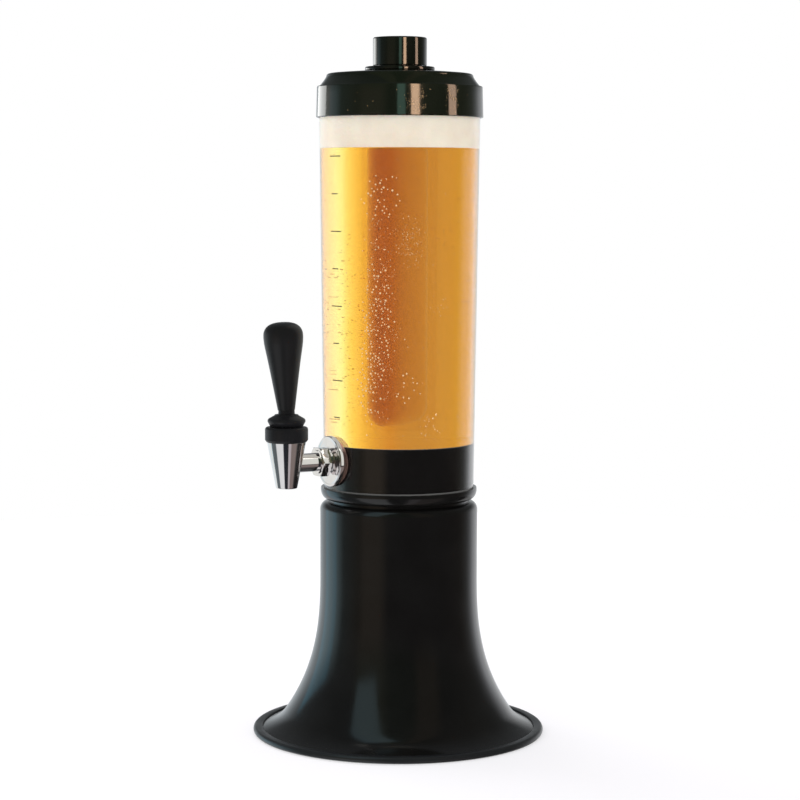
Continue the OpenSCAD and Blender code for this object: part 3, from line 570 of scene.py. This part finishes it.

# %% [markdown]
# The wedge is a stack of teardrop sections. ICE_HALF is half of one: how far right of the tower's
# axis, as the viewer sees it, and how far towards the viewer. The sections shrink at both ends and
# swell a little by noise in between.

# %% Ice wedge
# Thick on the viewer's left and thin on the right, so its painted shade is darker on the left.
ICE_HALF = [(-19.5, 0), (-19, 2.6), (-18, 5.4), (-17, 7.8), (-16, 9.6), (-15, 10.9), (-13.5, 12),
            (-12, 12.2), (-9, 11.2), (-5.4, 9.3), (-2, 7.2), (0.6, 5.6), (4, 4.1), (6.6, 3.3),
            (10, 2.6), (12.6, 2.0), (15, 1.2), (17, 0)]
WEDGE_MIDDLE = -9
section = ICE_HALF + [(a, -b) for a, b in reversed(ICE_HALF[1:-1])]
levels = (
    [(248, 0.02), (249, 0.35), (251, 0.6), (254, 0.82), (258, 0.95), (263, 1.0)]
    + [(263 + 8 * k, 1.0) for k in range(1, 26)]
    + [(468, 0.97), (470, 0.85), (471, 0.6), (471.4, 0.02)])
spots, faces = [], []
for z, size in levels:
    for a, b in section:
        swell = 1 + 0.10 * noise.noise(Vector((a * 0.05, b * 0.08, z * 0.03)))
        across = VIEWERS_RIGHT * (WEDGE_MIDDLE + (a - WEDGE_MIDDLE) * size)
        spots.append((across + TOWARDS_VIEWER * b * size * swell) / 1000 + Vector((0, 0, z / 1000)))
wide = len(section)
for i in range(len(levels) - 1):
    low, high = i * wide, (i + 1) * wide
    faces += [(low + j, high + j, high + (j + 1) % wide, low + (j + 1) % wide) for j in range(wide)]
faces += [tuple(range(wide)), tuple(reversed(range(len(spots) - wide, len(spots))))]
wedge_mesh = bpy.data.meshes.new("ice_wedge")
wedge_mesh.from_pydata(spots, [], faces)
wedge_mesh.shade_smooth()
wedge = add_piece("ice_wedge", wedge_mesh)
outer = bmesh.new()
outer.from_mesh(wedge_mesh)
bmesh.ops.recalc_face_normals(outer, faces=outer.faces)
outer.to_mesh(wedge_mesh)
outer.free()
print("ice_wedge", len(wedge_mesh.polygons), "faces")
wedge.data.materials.append(ice_white)
wedge.visible_shadow = False
wedge.visible_glossy = False
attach(wedge, "ice_tube")
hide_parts("ice_fill")

# %% [markdown]
# ## The tap
#
# The plate, the lock nut and the body are chrome, which shows the room and little of its own
# colour. The bonnet nut and the handle are black plastic, and the small parts inside are steel.

# %% Tap
for node in ("escutcheon", "lock_nut", "tap_body"):
    dress(node, chrome_bright, 0.3)
dress("outer_gasket", silicone_pink)
dress("inner_gasket", silicone_pink)
dress("bonnet_nut", bonnet_black, 0.5)
dress("tap_handle", handle_black, 0.4)
dress("guide_washer", screw_steel)
dress("valve_stem", screw_steel)
dress("pivot_pin", screw_steel)
dress("handle_stud", screw_steel)
dress("seat_plug", silicone_white, 0.2)
dress("valve_spring", spring_steel)
print("tap dressed")

# %% [markdown]
# The jam nut in the photograph has a corner in front, so its hexagon is made here with that turn.
# It is a stack of rings along the shank: bore, washer face, six flats with their corners cut back,
# and bore again.

# %% Jam nut
AXIS_Z, SHANK_R = 222.3, 7.35
NUT_FLAT, NUT_CORNER, NUT_EDGE, WASHER_R, NUT_LONG = 11, 12.6, 11.6, 9.3, 8.6
NUT_Y = NODES["jam_nut"].bound_box[0][1] * 1000
RING_STEPS = 48


def nut_ring(y, flat_r, corner_r):
    """Points of a hexagon round the shank whose corners are cut back to a radius."""
    ring = []
    for k in range(RING_STEPS):
        a = math.radians(k * 360 / RING_STEPS)
        r = min(flat_r / math.cos(a % (math.pi / 3) - math.pi / 6), corner_r)
        ring.append(Vector((r * math.cos(a), NUT_Y + y, AXIS_Z + r * math.sin(a))) / 1000)
    return ring


nut = bmesh.new()
loops = [[nut.verts.new(spot) for spot in nut_ring(*sizes)] for sizes in (
    (0, SHANK_R, SHANK_R), (0, WASHER_R, WASHER_R), (1.2, WASHER_R, 9.8),
    (1.25, NUT_FLAT, NUT_EDGE), (1.8, NUT_FLAT, NUT_CORNER), (8.0, NUT_FLAT, NUT_CORNER),
    (NUT_LONG, NUT_FLAT, NUT_EDGE), (NUT_LONG, SHANK_R, SHANK_R))]
for low, high in zip(loops, loops[1:] + loops[:1]):
    for k in range(RING_STEPS):
        after = (k + 1) % RING_STEPS
        nut.faces.new((low[k], low[after], high[after], high[k]))
bmesh.ops.recalc_face_normals(nut, faces=nut.faces)
hex_nut = smooth_piece("hex_nut", nut, 20)
hex_nut.data.materials.append(chrome_bright)
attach(hex_nut, "root")
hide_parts("jam_nut")
print("jam nut from", round(NUT_Y, 1), "mm")

# %% [markdown]
# The saucer under the handle is turned on the tower's axis and then moved to the spout.

# %% Saucer under the handle
SPOUT = Vector((0, -0.1015, 0))
saucer_outline = (
    [(9, 251.7), (11.6, 251.7)] + arc(12.2, 252.6, 0.9, 0.9, -90, -35, 4)
    + arc(12.1, 256.1, 2.7, 2.4, -30, 62, 9) + [(9.4, 260.4)]
    + arc(8.4, 261.4, 1.7, 0.5, -60, -90, 3)
    + [(6.5, 261.4), (6.3, 264.5), (3, 264.5), (3, 258.5), (9, 258.5)])
saucer = lathe("saucer_cap", saucer_outline, turns=72, sharp=45)
saucer.data.transform(Matrix.Translation(SPOUT))
saucer.data.materials.append(bonnet_black)
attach(saucer, "lever")
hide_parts("lever_saucer")

# %% [markdown]
# ## Dew
#
# Cold beer makes dew on the outside of the tube: drops of about a millimetre in some bands, a finer
# mist in others. Geometry Nodes scatter flat-bottomed domes over a patch of the wall. How wet each
# place is comes from an attribute on the patch, so the drops gather where the photograph has them.

# %% The tree that scatters drops
def dew_tree():
    """A tree that scatters domes over a mesh, more of them where its attribute wet is higher."""
    tree = bpy.data.node_groups.new("dew", "GeometryNodeTree")
    tree.interface.new_socket("Geometry", in_out="INPUT", socket_type="NodeSocketGeometry")
    for name, kind, value in (("Drops per square metre", "NodeSocketFloat", 60000.0),
                              ("Least spacing", "NodeSocketFloat", 0.0012),
                              ("Smallest drop", "NodeSocketFloat", 0.0003),
                              ("Largest drop", "NodeSocketFloat", 0.0011),
                              ("Flatness", "NodeSocketFloat", 0.62), ("Seed", "NodeSocketInt", 4)):
        tree.interface.new_socket(name, in_out="INPUT", socket_type=kind).default_value = value
    tree.interface.new_socket("Finish", in_out="INPUT", socket_type="NodeSocketMaterial")
    tree.interface.new_socket("Geometry", in_out="OUTPUT", socket_type="NodeSocketGeometry")
    n, link = tree.nodes, tree.links.new
    source, result = n.new("NodeGroupInput"), n.new("NodeGroupOutput")

    wet = n.new("GeometryNodeInputNamedAttribute")
    wet.data_type = "FLOAT"
    wet.inputs["Name"].default_value = "wet"
    scatter = n.new("GeometryNodeDistributePointsOnFaces")
    scatter.distribute_method = "POISSON"
    link(source.outputs["Geometry"], scatter.inputs["Mesh"])
    link(source.outputs["Least spacing"], scatter.inputs["Distance Min"])
    link(source.outputs["Drops per square metre"], scatter.inputs["Density Max"])
    link(wet.outputs["Attribute"], scatter.inputs["Density Factor"])
    link(source.outputs["Seed"], scatter.inputs["Seed"])

    ball = n.new("GeometryNodeMeshUVSphere")
    ball.inputs["Segments"].default_value = 10
    ball.inputs["Rings"].default_value = 7
    ball.inputs["Radius"].default_value = 1.0
    place = n.new("GeometryNodeInputPosition")
    parts = n.new("ShaderNodeSeparateXYZ")
    link(place.outputs["Position"], parts.inputs["Vector"])
    floor_cut = n.new("ShaderNodeMath")
    floor_cut.operation = "MAXIMUM"
    floor_cut.inputs[1].default_value = 0.0
    link(parts.outputs["Z"], floor_cut.inputs[0])
    low = n.new("ShaderNodeMath")
    low.operation = "MULTIPLY"
    link(floor_cut.outputs["Value"], low.inputs[0])
    link(source.outputs["Flatness"], low.inputs[1])
    dome_place = n.new("ShaderNodeCombineXYZ")
    link(parts.outputs["X"], dome_place.inputs["X"])
    link(parts.outputs["Y"], dome_place.inputs["Y"])
    link(low.outputs["Value"], dome_place.inputs["Z"])
    dome = n.new("GeometryNodeSetPosition")
    link(ball.outputs["Mesh"], dome.inputs["Geometry"])
    link(dome_place.outputs["Vector"], dome.inputs["Position"])

    chance = n.new("FunctionNodeRandomValue")
    chance.data_type = "FLOAT"
    chance.inputs[2].default_value = 0.0
    chance.inputs[3].default_value = 1.0
    link(source.outputs["Seed"], chance.inputs["Seed"])
    few_large = n.new("ShaderNodeMath")
    few_large.operation = "POWER"
    few_large.inputs[1].default_value = 2.2
    link(chance.outputs[1], few_large.inputs[0])
    size = n.new("ShaderNodeMapRange")
    link(few_large.outputs["Value"], size.inputs["Value"])
    link(source.outputs["Smallest drop"], size.inputs["To Min"])
    link(source.outputs["Largest drop"], size.inputs["To Max"])

    drops = n.new("GeometryNodeInstanceOnPoints")
    link(scatter.outputs["Points"], drops.inputs["Points"])
    link(dome.outputs["Geometry"], drops.inputs["Instance"])
    link(scatter.outputs["Rotation"], drops.inputs["Rotation"])
    link(size.outputs["Result"], drops.inputs["Scale"])
    real = n.new("GeometryNodeRealizeInstances")
    link(drops.outputs["Instances"], real.inputs["Geometry"])
    smooth = n.new("GeometryNodeSetShadeSmooth")
    link(real.outputs["Geometry"], smooth.inputs["Geometry"])
    paint = n.new("GeometryNodeSetMaterial")
    link(smooth.outputs["Geometry"], paint.inputs["Geometry"])
    link(source.outputs["Finish"], paint.inputs["Material"])
    link(paint.outputs["Geometry"], result.inputs["Geometry"])
    return tree


DEW = dew_tree()

# %% [markdown]
# A patch is a grid that lies on the wall. Its attribute says how wet each place is, from soft
# ellipses broken up by noise.

# %% Patches of wet wall
WET_GAP = 0.02


def wet_wall(name, radius_at, low, high, left, right, wetness, steps=(90, 120)):
    """A patch of the wall between two heights (mm) and two angles (degrees, 0 towards the viewer,
    right positive) with its wetness as an attribute."""
    rows, columns = steps
    spots, wet = [], []
    for i in range(rows + 1):
        z = low + (high - low) * i / rows
        for j in range(columns + 1):
            turn = left + (right - left) * j / columns
            spots.append(outward(turn) * (radius_at(z) + WET_GAP) / 1000 + Vector((0, 0, z / 1000)))
            wet.append(wetness(radius_at(z) * math.sin(math.radians(turn)), z, turn))
    wide = columns + 1
    faces = [(i * wide + j, i * wide + j + 1, (i + 1) * wide + j + 1, (i + 1) * wide + j)
             for i in range(rows) for j in range(columns)]
    mesh = bpy.data.meshes.new(name)
    mesh.from_pydata(spots, [], faces)
    mesh.attributes.new("wet", "FLOAT", "POINT").data.foreach_set("value", wet)
    return add_piece(name, mesh)


def add_dew(patch, body, slot, finish_used, **sizes):
    """Turn a wet patch into one mesh of drops that rides a body."""
    modifier = patch.modifiers.new("dew", "NODES")
    modifier.node_group = DEW
    sizes["Finish"] = finish_used
    for item in DEW.interface.items_tree:
        if item.in_out == "INPUT" and item.name in sizes:
            modifier[item.identifier] = sizes[item.name]
    patch.data.update()
    graph = bpy.context.evaluated_depsgraph_get()
    made = bpy.data.meshes.new_from_object(patch.evaluated_get(graph), depsgraph=graph)
    patch.modifiers.clear()
    patch.data = made
    patch.visible_shadow = False
    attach(patch, body)
    print(patch.name, len(made.polygons), "faces")
    return patch


def blob(x, z, cx, cz, rx, rz, power):
    """1 in the middle of an ellipse (mm), fading to 0 at its edge."""
    away = ((x - cx) / rx) ** 2 + ((z - cz) / rz) ** 2
    return max(0.0, 1 - away) ** (1 / power)

# %% Dew on the tube
DEW_LOW, DEW_HIGH = 236, 464


def coarse_dew(x, z, turn):
    """How wet the tube is with large drops: a band that leans left as it goes down, and spots."""
    lean = 0.11 * min(0.0, z - 331)
    band = blob(x, z, -17 + lean, 322, 13, 84, 1.2)
    upper = blob(x, z, -14, 428, 17, 19, 1.2)
    low_right = blob(x, z, 7, 282, 11, 17, 1.2) * 0.6
    foot = blob(x, z, 28, 252, 9, 12, 1.2) * 0.3
    patchy = 0.55 + 0.9 * max(0.0, noise.noise(Vector((x, z, 3)) * 0.11))
    return (band + upper + low_right + foot) * patchy + 0.003


def fine_dew(x, z, turn):
    """How wet the tube is with mist."""
    middle = blob(x, z, 9, 396, 14, 22, 1.2)
    band = blob(x, z, -16, 330, 16, 95, 1.4) * 0.5
    right = blob(x, z, 30, 345, 10, 8, 1.2) * 0.5 + blob(x, z, 26, 252, 12, 14, 1.2) * 0.4
    rim = 0.25 if x > 55 and 400 < z < 440 else 0.0
    patchy = 0.4 + 1.2 * max(0.0, noise.noise(Vector((x, z, 7)) * 0.13))
    return (middle + band + right + rim) * patchy + 0.01


dew_coarse = add_dew(
    wet_wall("dew_coarse", tube_r, DEW_LOW, DEW_HIGH, -90, 90, coarse_dew), "root",
    "clear_acrylic", dew_water,
    **{"Drops per square metre": 420000.0, "Least spacing": 0.0021, "Smallest drop": 0.00050,
       "Largest drop": 0.00085, "Flatness": 0.5})
dew_fine = add_dew(
    wet_wall("dew_fine", tube_r, DEW_LOW, DEW_HIGH, -180, 180, fine_dew), "root",
    "clear_acrylic", dew_water,
    **{"Drops per square metre": 600000.0, "Least spacing": 0.0010, "Smallest drop": 0.0002,
       "Largest drop": 0.00046, "Seed": 11})

# %% Mist on the lid's ring
RING_R = 66.15


def ring_r(z):
    return RING_R


def lid_dew(x, z, turn):
    """How wet the lid's ring is: two misty places where the warm lamps shine on it."""
    patchy = max(0.0, 0.3 + 1.3 * noise.noise(Vector((x, z, 5)) * 0.2))
    return (blob(turn, z, 11, 504, 8, 14, 1.4) + blob(turn, z, 38, 504, 7, 14, 1.4)) * patchy + 0.01


add_dew(
    wet_wall("dew_lid", ring_r, 494, 514, -60, 70, lid_dew, (30, 120)), "lid",
    "clear_acrylic", dew_water,
    **{"Drops per square metre": 1500000.0, "Least spacing": 0.0006, "Smallest drop": 0.00018,
       "Largest drop": 0.0004, "Flatness": 0.5, "Seed": 3})

# %% [markdown]
# ## Floor and light
#
# The world is a studio seen through Light Path: white for the camera, soft white for matt surfaces,
# and for mirrors and lenses a bright backdrop behind the tower with a darker room round the viewer,
# so that black plastic stays black in front and shines at its sides.
#
# Each list below is a ring of colours by the angle round the tower in degrees, 0 towards the viewer
# and right positive. Mirrors see MIRROR_STOPS level, OVERHEAD_STOPS above and TABLE_STOPS below,
# all set by trial. Light that went through the beer sees LENS_STOPS, which were worked out from
# colours measured across the beer in the photograph.

# %% Rings of colours
MIRROR_STOPS = [
    (-180, (0.80, 0.84, 0.86)), (-165, (0.80, 0.86, 0.90)), (-148, (0.82, 0.90, 0.95)),
    (-128, (0.80, 0.90, 0.95)), (-123, (0.86, 0.88, 0.85)), (-115, (0.86, 0.88, 0.85)),
    (-110, (0.74, 0.88, 0.94)), (-98, (0.50, 0.68, 0.72)), (-88, (0.14, 0.18, 0.18)),
    (-60, (0.12, 0.10, 0.07)), (-50, (0.24, 0.19, 0.14)), (-28, (0.24, 0.19, 0.14)),
    (-15, (0.04, 0.035, 0.035)), (65, (0.03, 0.025, 0.025)), (95, (0.05, 0.04, 0.035)),
    (105, (0.09, 0.08, 0.07)), (118, (0.20, 0.20, 0.20)), (128, (0.50, 0.51, 0.53)),
    (140, (1.0, 1.02, 1.06)), (155, (0.92, 0.93, 0.95)), (180, (0.80, 0.84, 0.86))]

OVERHEAD_STOPS = [
    (-180, (0.16, 0.17, 0.18)), (-90, (0.08, 0.09, 0.09)), (-62, (0.07, 0.08, 0.08)),
    (-52, (0.12, 0.13, 0.08)), (-22, (0.12, 0.13, 0.08)), (-12, (0.03, 0.05, 0.03)),
    (20, (0.03, 0.045, 0.03)), (28, (0.12, 0.10, 0.07)), (48, (0.12, 0.10, 0.07)),
    (58, (0.03, 0.035, 0.03)), (90, (0.06, 0.06, 0.05)), (180, (0.16, 0.17, 0.18))]

TABLE_STOPS = [
    (-180, (0.85, 0.86, 0.88)), (-112, (0.85, 0.86, 0.88)), (-106, (0.13, 0.15, 0.16)),
    (-70, (0.11, 0.13, 0.14)), (-64, (0.78, 0.80, 0.82)), (-21, (0.80, 0.82, 0.84)),
    (-16, (0.02, 0.022, 0.03)), (14, (0.02, 0.022, 0.025)), (18, (0.50, 0.46, 0.48)),
    (32, (0.44, 0.40, 0.42)), (36, (0.22, 0.18, 0.17)), (66, (0.22, 0.18, 0.17)),
    (76, (0.05, 0.05, 0.05)), (84, (0.02, 0.02, 0.02)), (126, (0.02, 0.02, 0.02)),
    (131, (0.55, 0.55, 0.55)), (152, (0.60, 0.60, 0.60)), (158, (0.10, 0.10, 0.10)),
    (180, (0.40, 0.40, 0.42))]

LENS_STOPS = [
    (-180, (1.15, 1.19, 1.20)), (-176, (1.11, 1.19, 1.30)), (-168, (1.09, 1.13, 1.14)),
    (-163, (1.15, 1.18, 1.05)), (-157, (1.15, 1.13, 0.76)), (-153, (1.18, 1.16, 0.64)),
    (-148, (1.23, 1.22, 0.50)), (-142, (1.34, 1.27, 0.40)), (-133, (1.60, 1.55, 0.40)),
    (-118, (1.40, 1.30, 0.60)), (-100, (0.5, 0.5, 0.5)), (100, (0.5, 0.5, 0.5)),
    (112, (2.0, 2.2, 3.0)), (124.6, (2.87, 3.11, 5.0)), (137.4, (2.10, 2.95, 6.0)),
    (145, (1.96, 3.24, 7.1)), (150.3, (1.95, 3.65, 7.8)), (154.6, (1.97, 3.70, 7.5)),
    (158.1, (1.97, 3.12, 4.6)), (161.2, (2.0, 2.8, 3.2)), (163.9, (1.86, 2.42, 2.3)),
    (166.4, (1.70, 2.05, 1.57)), (170.8, (1.44, 1.57, 0.96)), (176.7, (1.25, 1.20, 0.94)),
    (180, (1.15, 1.19, 1.20))]

print("rings of colours made")

# %% World
LENS_STRENGTH = 8.0
TABLE_BELOW, OVERHEAD_FROM, OVERHEAD_FULL = -0.33, 0.02, 0.30

world = bpy.data.worlds.new("studio")
scene.world = world
world.use_nodes = True
n, link = world.node_tree.nodes, world.node_tree.links.new
n.clear()
where = n.new("ShaderNodeTexCoord")
across = n.new("ShaderNodeVectorMath")
along = n.new("ShaderNodeVectorMath")
for dot, direction in ((across, VIEWERS_RIGHT), (along, TOWARDS_VIEWER)):
    dot.operation = "DOT_PRODUCT"
    dot.inputs[1].default_value = direction
    link(where.outputs["Generated"], dot.inputs[0])
turn = n.new("ShaderNodeMath")
turn.operation = "ARCTAN2"
link(across.outputs["Value"], turn.inputs[0])
link(along.outputs["Value"], turn.inputs[1])
share = n.new("ShaderNodeMath")
share.operation = "MULTIPLY_ADD"
share.inputs[1].default_value = 1 / (2 * math.pi)
share.inputs[2].default_value = 0.5
link(turn.outputs["Value"], share.inputs[0])


def light(strength):
    """White light of a strength. Its colour can be linked."""
    background = n.new("ShaderNodeBackground")
    background.inputs["Color"].default_value = (1, 1, 1, 1)
    background.inputs["Strength"].default_value = strength
    return background


def ring(stops, strength=1.0):
    """Light from a ring of colours. They are divided by its strength, because a ramp ends at 1."""
    ramp = n.new("ShaderNodeValToRGB")
    elements = ramp.color_ramp.elements
    while len(elements) > 1:
        elements.remove(elements[-1])
    for k, (angle, colour) in enumerate(stops):
        spot = (angle + 180) / 360
        element = elements[0] if k == 0 else elements.new(spot)
        element.position = spot
        element.color = (*(v / strength for v in colour), 1)
    link(share.outputs["Value"], ramp.inputs["Fac"])
    background = light(strength)
    link(ramp.outputs["Color"], background.inputs["Color"])
    return background.outputs["Background"]


path = n.new("ShaderNodeLightPath")
tilt = n.new("ShaderNodeSeparateXYZ")
link(where.outputs["Generated"], tilt.inputs["Vector"])
below = n.new("ShaderNodeMath")
below.operation = "LESS_THAN"
below.inputs[1].default_value = TABLE_BELOW
link(tilt.outputs["Z"], below.inputs[0])
above = n.new("ShaderNodeMapRange")
above.inputs["From Min"].default_value = OVERHEAD_FROM
above.inputs["From Max"].default_value = OVERHEAD_FULL
link(tilt.outputs["Z"], above.inputs["Value"])

shine = mixed(n, link, above.outputs["Result"], ring(MIRROR_STOPS), ring(OVERHEAD_STOPS))
shine = mixed(n, link, below.outputs["Value"], shine, ring(TABLE_STOPS))
look = mixed(n, link, path.outputs["Is Glossy Ray"], light(0.95).outputs["Background"], shine)
look = mixed(n, link, path.outputs["Is Transmission Ray"], look, ring(LENS_STOPS, LENS_STRENGTH))
look = mixed(n, link, path.outputs["Is Camera Ray"], look, light(1.0).outputs["Background"])
sink = n.new("ShaderNodeOutputWorld")
link(look, sink.inputs["Surface"])
print("world made")

# %% [markdown]
# The lamps are softboxes that stand round the tower. Most of them light only some pieces, through
# light linking, so that the streaks on the lid, the blue edge of the base and the bright chrome can
# be set one by one. No lamp shows to the camera or through the beer.

# %% Softboxes
def softbox(name, angle, radius, height, width, tall, radiance, colour=(1, 1, 1), only=None):
    """An area light round the tower, facing its axis. Radiance is what a mirror of it shows."""
    data = bpy.data.lights.new(name, "AREA")
    data.shape = "RECTANGLE"
    data.size, data.size_y = width, tall
    data.energy = radiance * math.pi * width * tall
    data.color = colour
    lamp = bpy.data.objects.new(name, data)
    scene.collection.objects.link(lamp)
    out = outward(angle)
    lamp.location = out * radius + Vector((0, 0, height))
    lamp.rotation_euler = out.to_track_quat("Z", "Y").to_euler()
    lamp.visible_camera = False
    lamp.visible_transmission = False
    if only:
        lamp.light_linking.receiver_collection = only
    return lamp


def lit_only(name, *pieces):
    """A collection for light linking."""
    group = bpy.data.collections.new(name)
    for piece in pieces:
        group.objects.link(piece)
    return group


top_pieces = lit_only("lit_by_warm_lamps", NODES["lid"], NODES["ice_knob"], collar)
chrome_pieces = lit_only("lit_by_top_lamp", NODES["escutcheon"], NODES["tap_body"], hex_nut)
base_pieces = lit_only("lit_by_blue_lamps", base_shell, NODES["tank_cup"], NODES["rim_ring"])
dew_pieces = lit_only("lit_by_dew_lamp", dew_coarse, dew_fine)

# %% Lamps
BASE_MIDDLE = Vector((0, 0, 0.05))

softbox("box_left", -137, 1.5, 0.95, 1.2, 1.2, 3.0).visible_glossy = False
softbox("box_blue", -116, 1.5, -0.25, 0.8, 1.3, 1.0, (0.04, 0.34, 0.50), base_pieces)
sky = softbox("box_sky", -41, 0.95, 1.15, 0.62, 1.5, 1.0, (0.36, 0.55, 0.64), base_pieces)
sky.rotation_euler = (BASE_MIDDLE - sky.location).to_track_quat("-Z", "Y").to_euler()
softbox("box_dew", -35, 1.4, 1.3, 0.6, 0.6, 3.0, (1.0, 0.72, 0.45), dew_pieces)
softbox("box_edge", -137, 1.3, 0.56, 0.75, 0.35, 3.0, (1.0, 0.99, 0.96), top_pieces)
softbox("box_warm", 21, 1.6, 0.95, 0.32, 0.9, 1.0, (13.5, 8.8, 5.6), top_pieces)
softbox("box_side", 76, 1.6, 0.95, 0.36, 0.9, 1.0, (7.2, 4.8, 3.4), top_pieces)
softbox("box_teal", 2, 1.6, 0.95, 0.3, 0.9, 1.0, (0.67, 1.26, 1.0), top_pieces)
softbox("box_chrome", 66, 1.2, 1.1, 1.0, 2.4, 0.72, (1.0, 1.02, 0.96), chrome_pieces)
roof = softbox("box_top", -30, 0.01, 1.6, 2.2, 2.2, 0.75, (1.0, 1.02, 0.98), chrome_pieces)
roof.rotation_euler = (0, 0, 0)
print("lamps made")

# %% [markdown]
# The floor is a pale disc just under the tower. It glows a little by itself, so it melts into the
# white background, and still takes the tower's soft shadow.

# %% Floor
FLOOR_R, FLOOR_Z, FLOOR_SIDES = 1.3, -0.0001, 96
corners = [2 * math.pi * k / FLOOR_SIDES for k in range(FLOOR_SIDES)]
floor_mesh = bpy.data.meshes.new("floor")
floor_mesh.from_pydata([(FLOOR_R * math.cos(a), FLOOR_R * math.sin(a), FLOOR_Z) for a in corners],
                       [], [list(range(FLOOR_SIDES))])
floor = add_piece("floor", floor_mesh)
pale, n, link = new_material("pale_floor")
n.clear()
path = n.new("ShaderNodeLightPath")
matt = n.new("ShaderNodeBsdfDiffuse")
matt.inputs["Color"].default_value = (0.5, 0.49, 0.52, 1)


def glow(strength):
    shine = n.new("ShaderNodeEmission")
    shine.inputs["Color"].default_value = (1, 1, 1, 1)
    shine.inputs["Strength"].default_value = strength
    return shine.outputs["Emission"]


both = n.new("ShaderNodeAddShader")
link(matt.outputs["BSDF"], both.inputs[0])
link(glow(0.52), both.inputs[1])
look = mixed(n, link, path.outputs["Is Transmission Ray"], both.outputs["Shader"], glow(0.9))
sink = n.new("ShaderNodeOutputMaterial")
link(look, sink.inputs["Surface"])
floor_mesh.materials.append(pale)
floor.visible_glossy = False
floor.visible_shadow = False
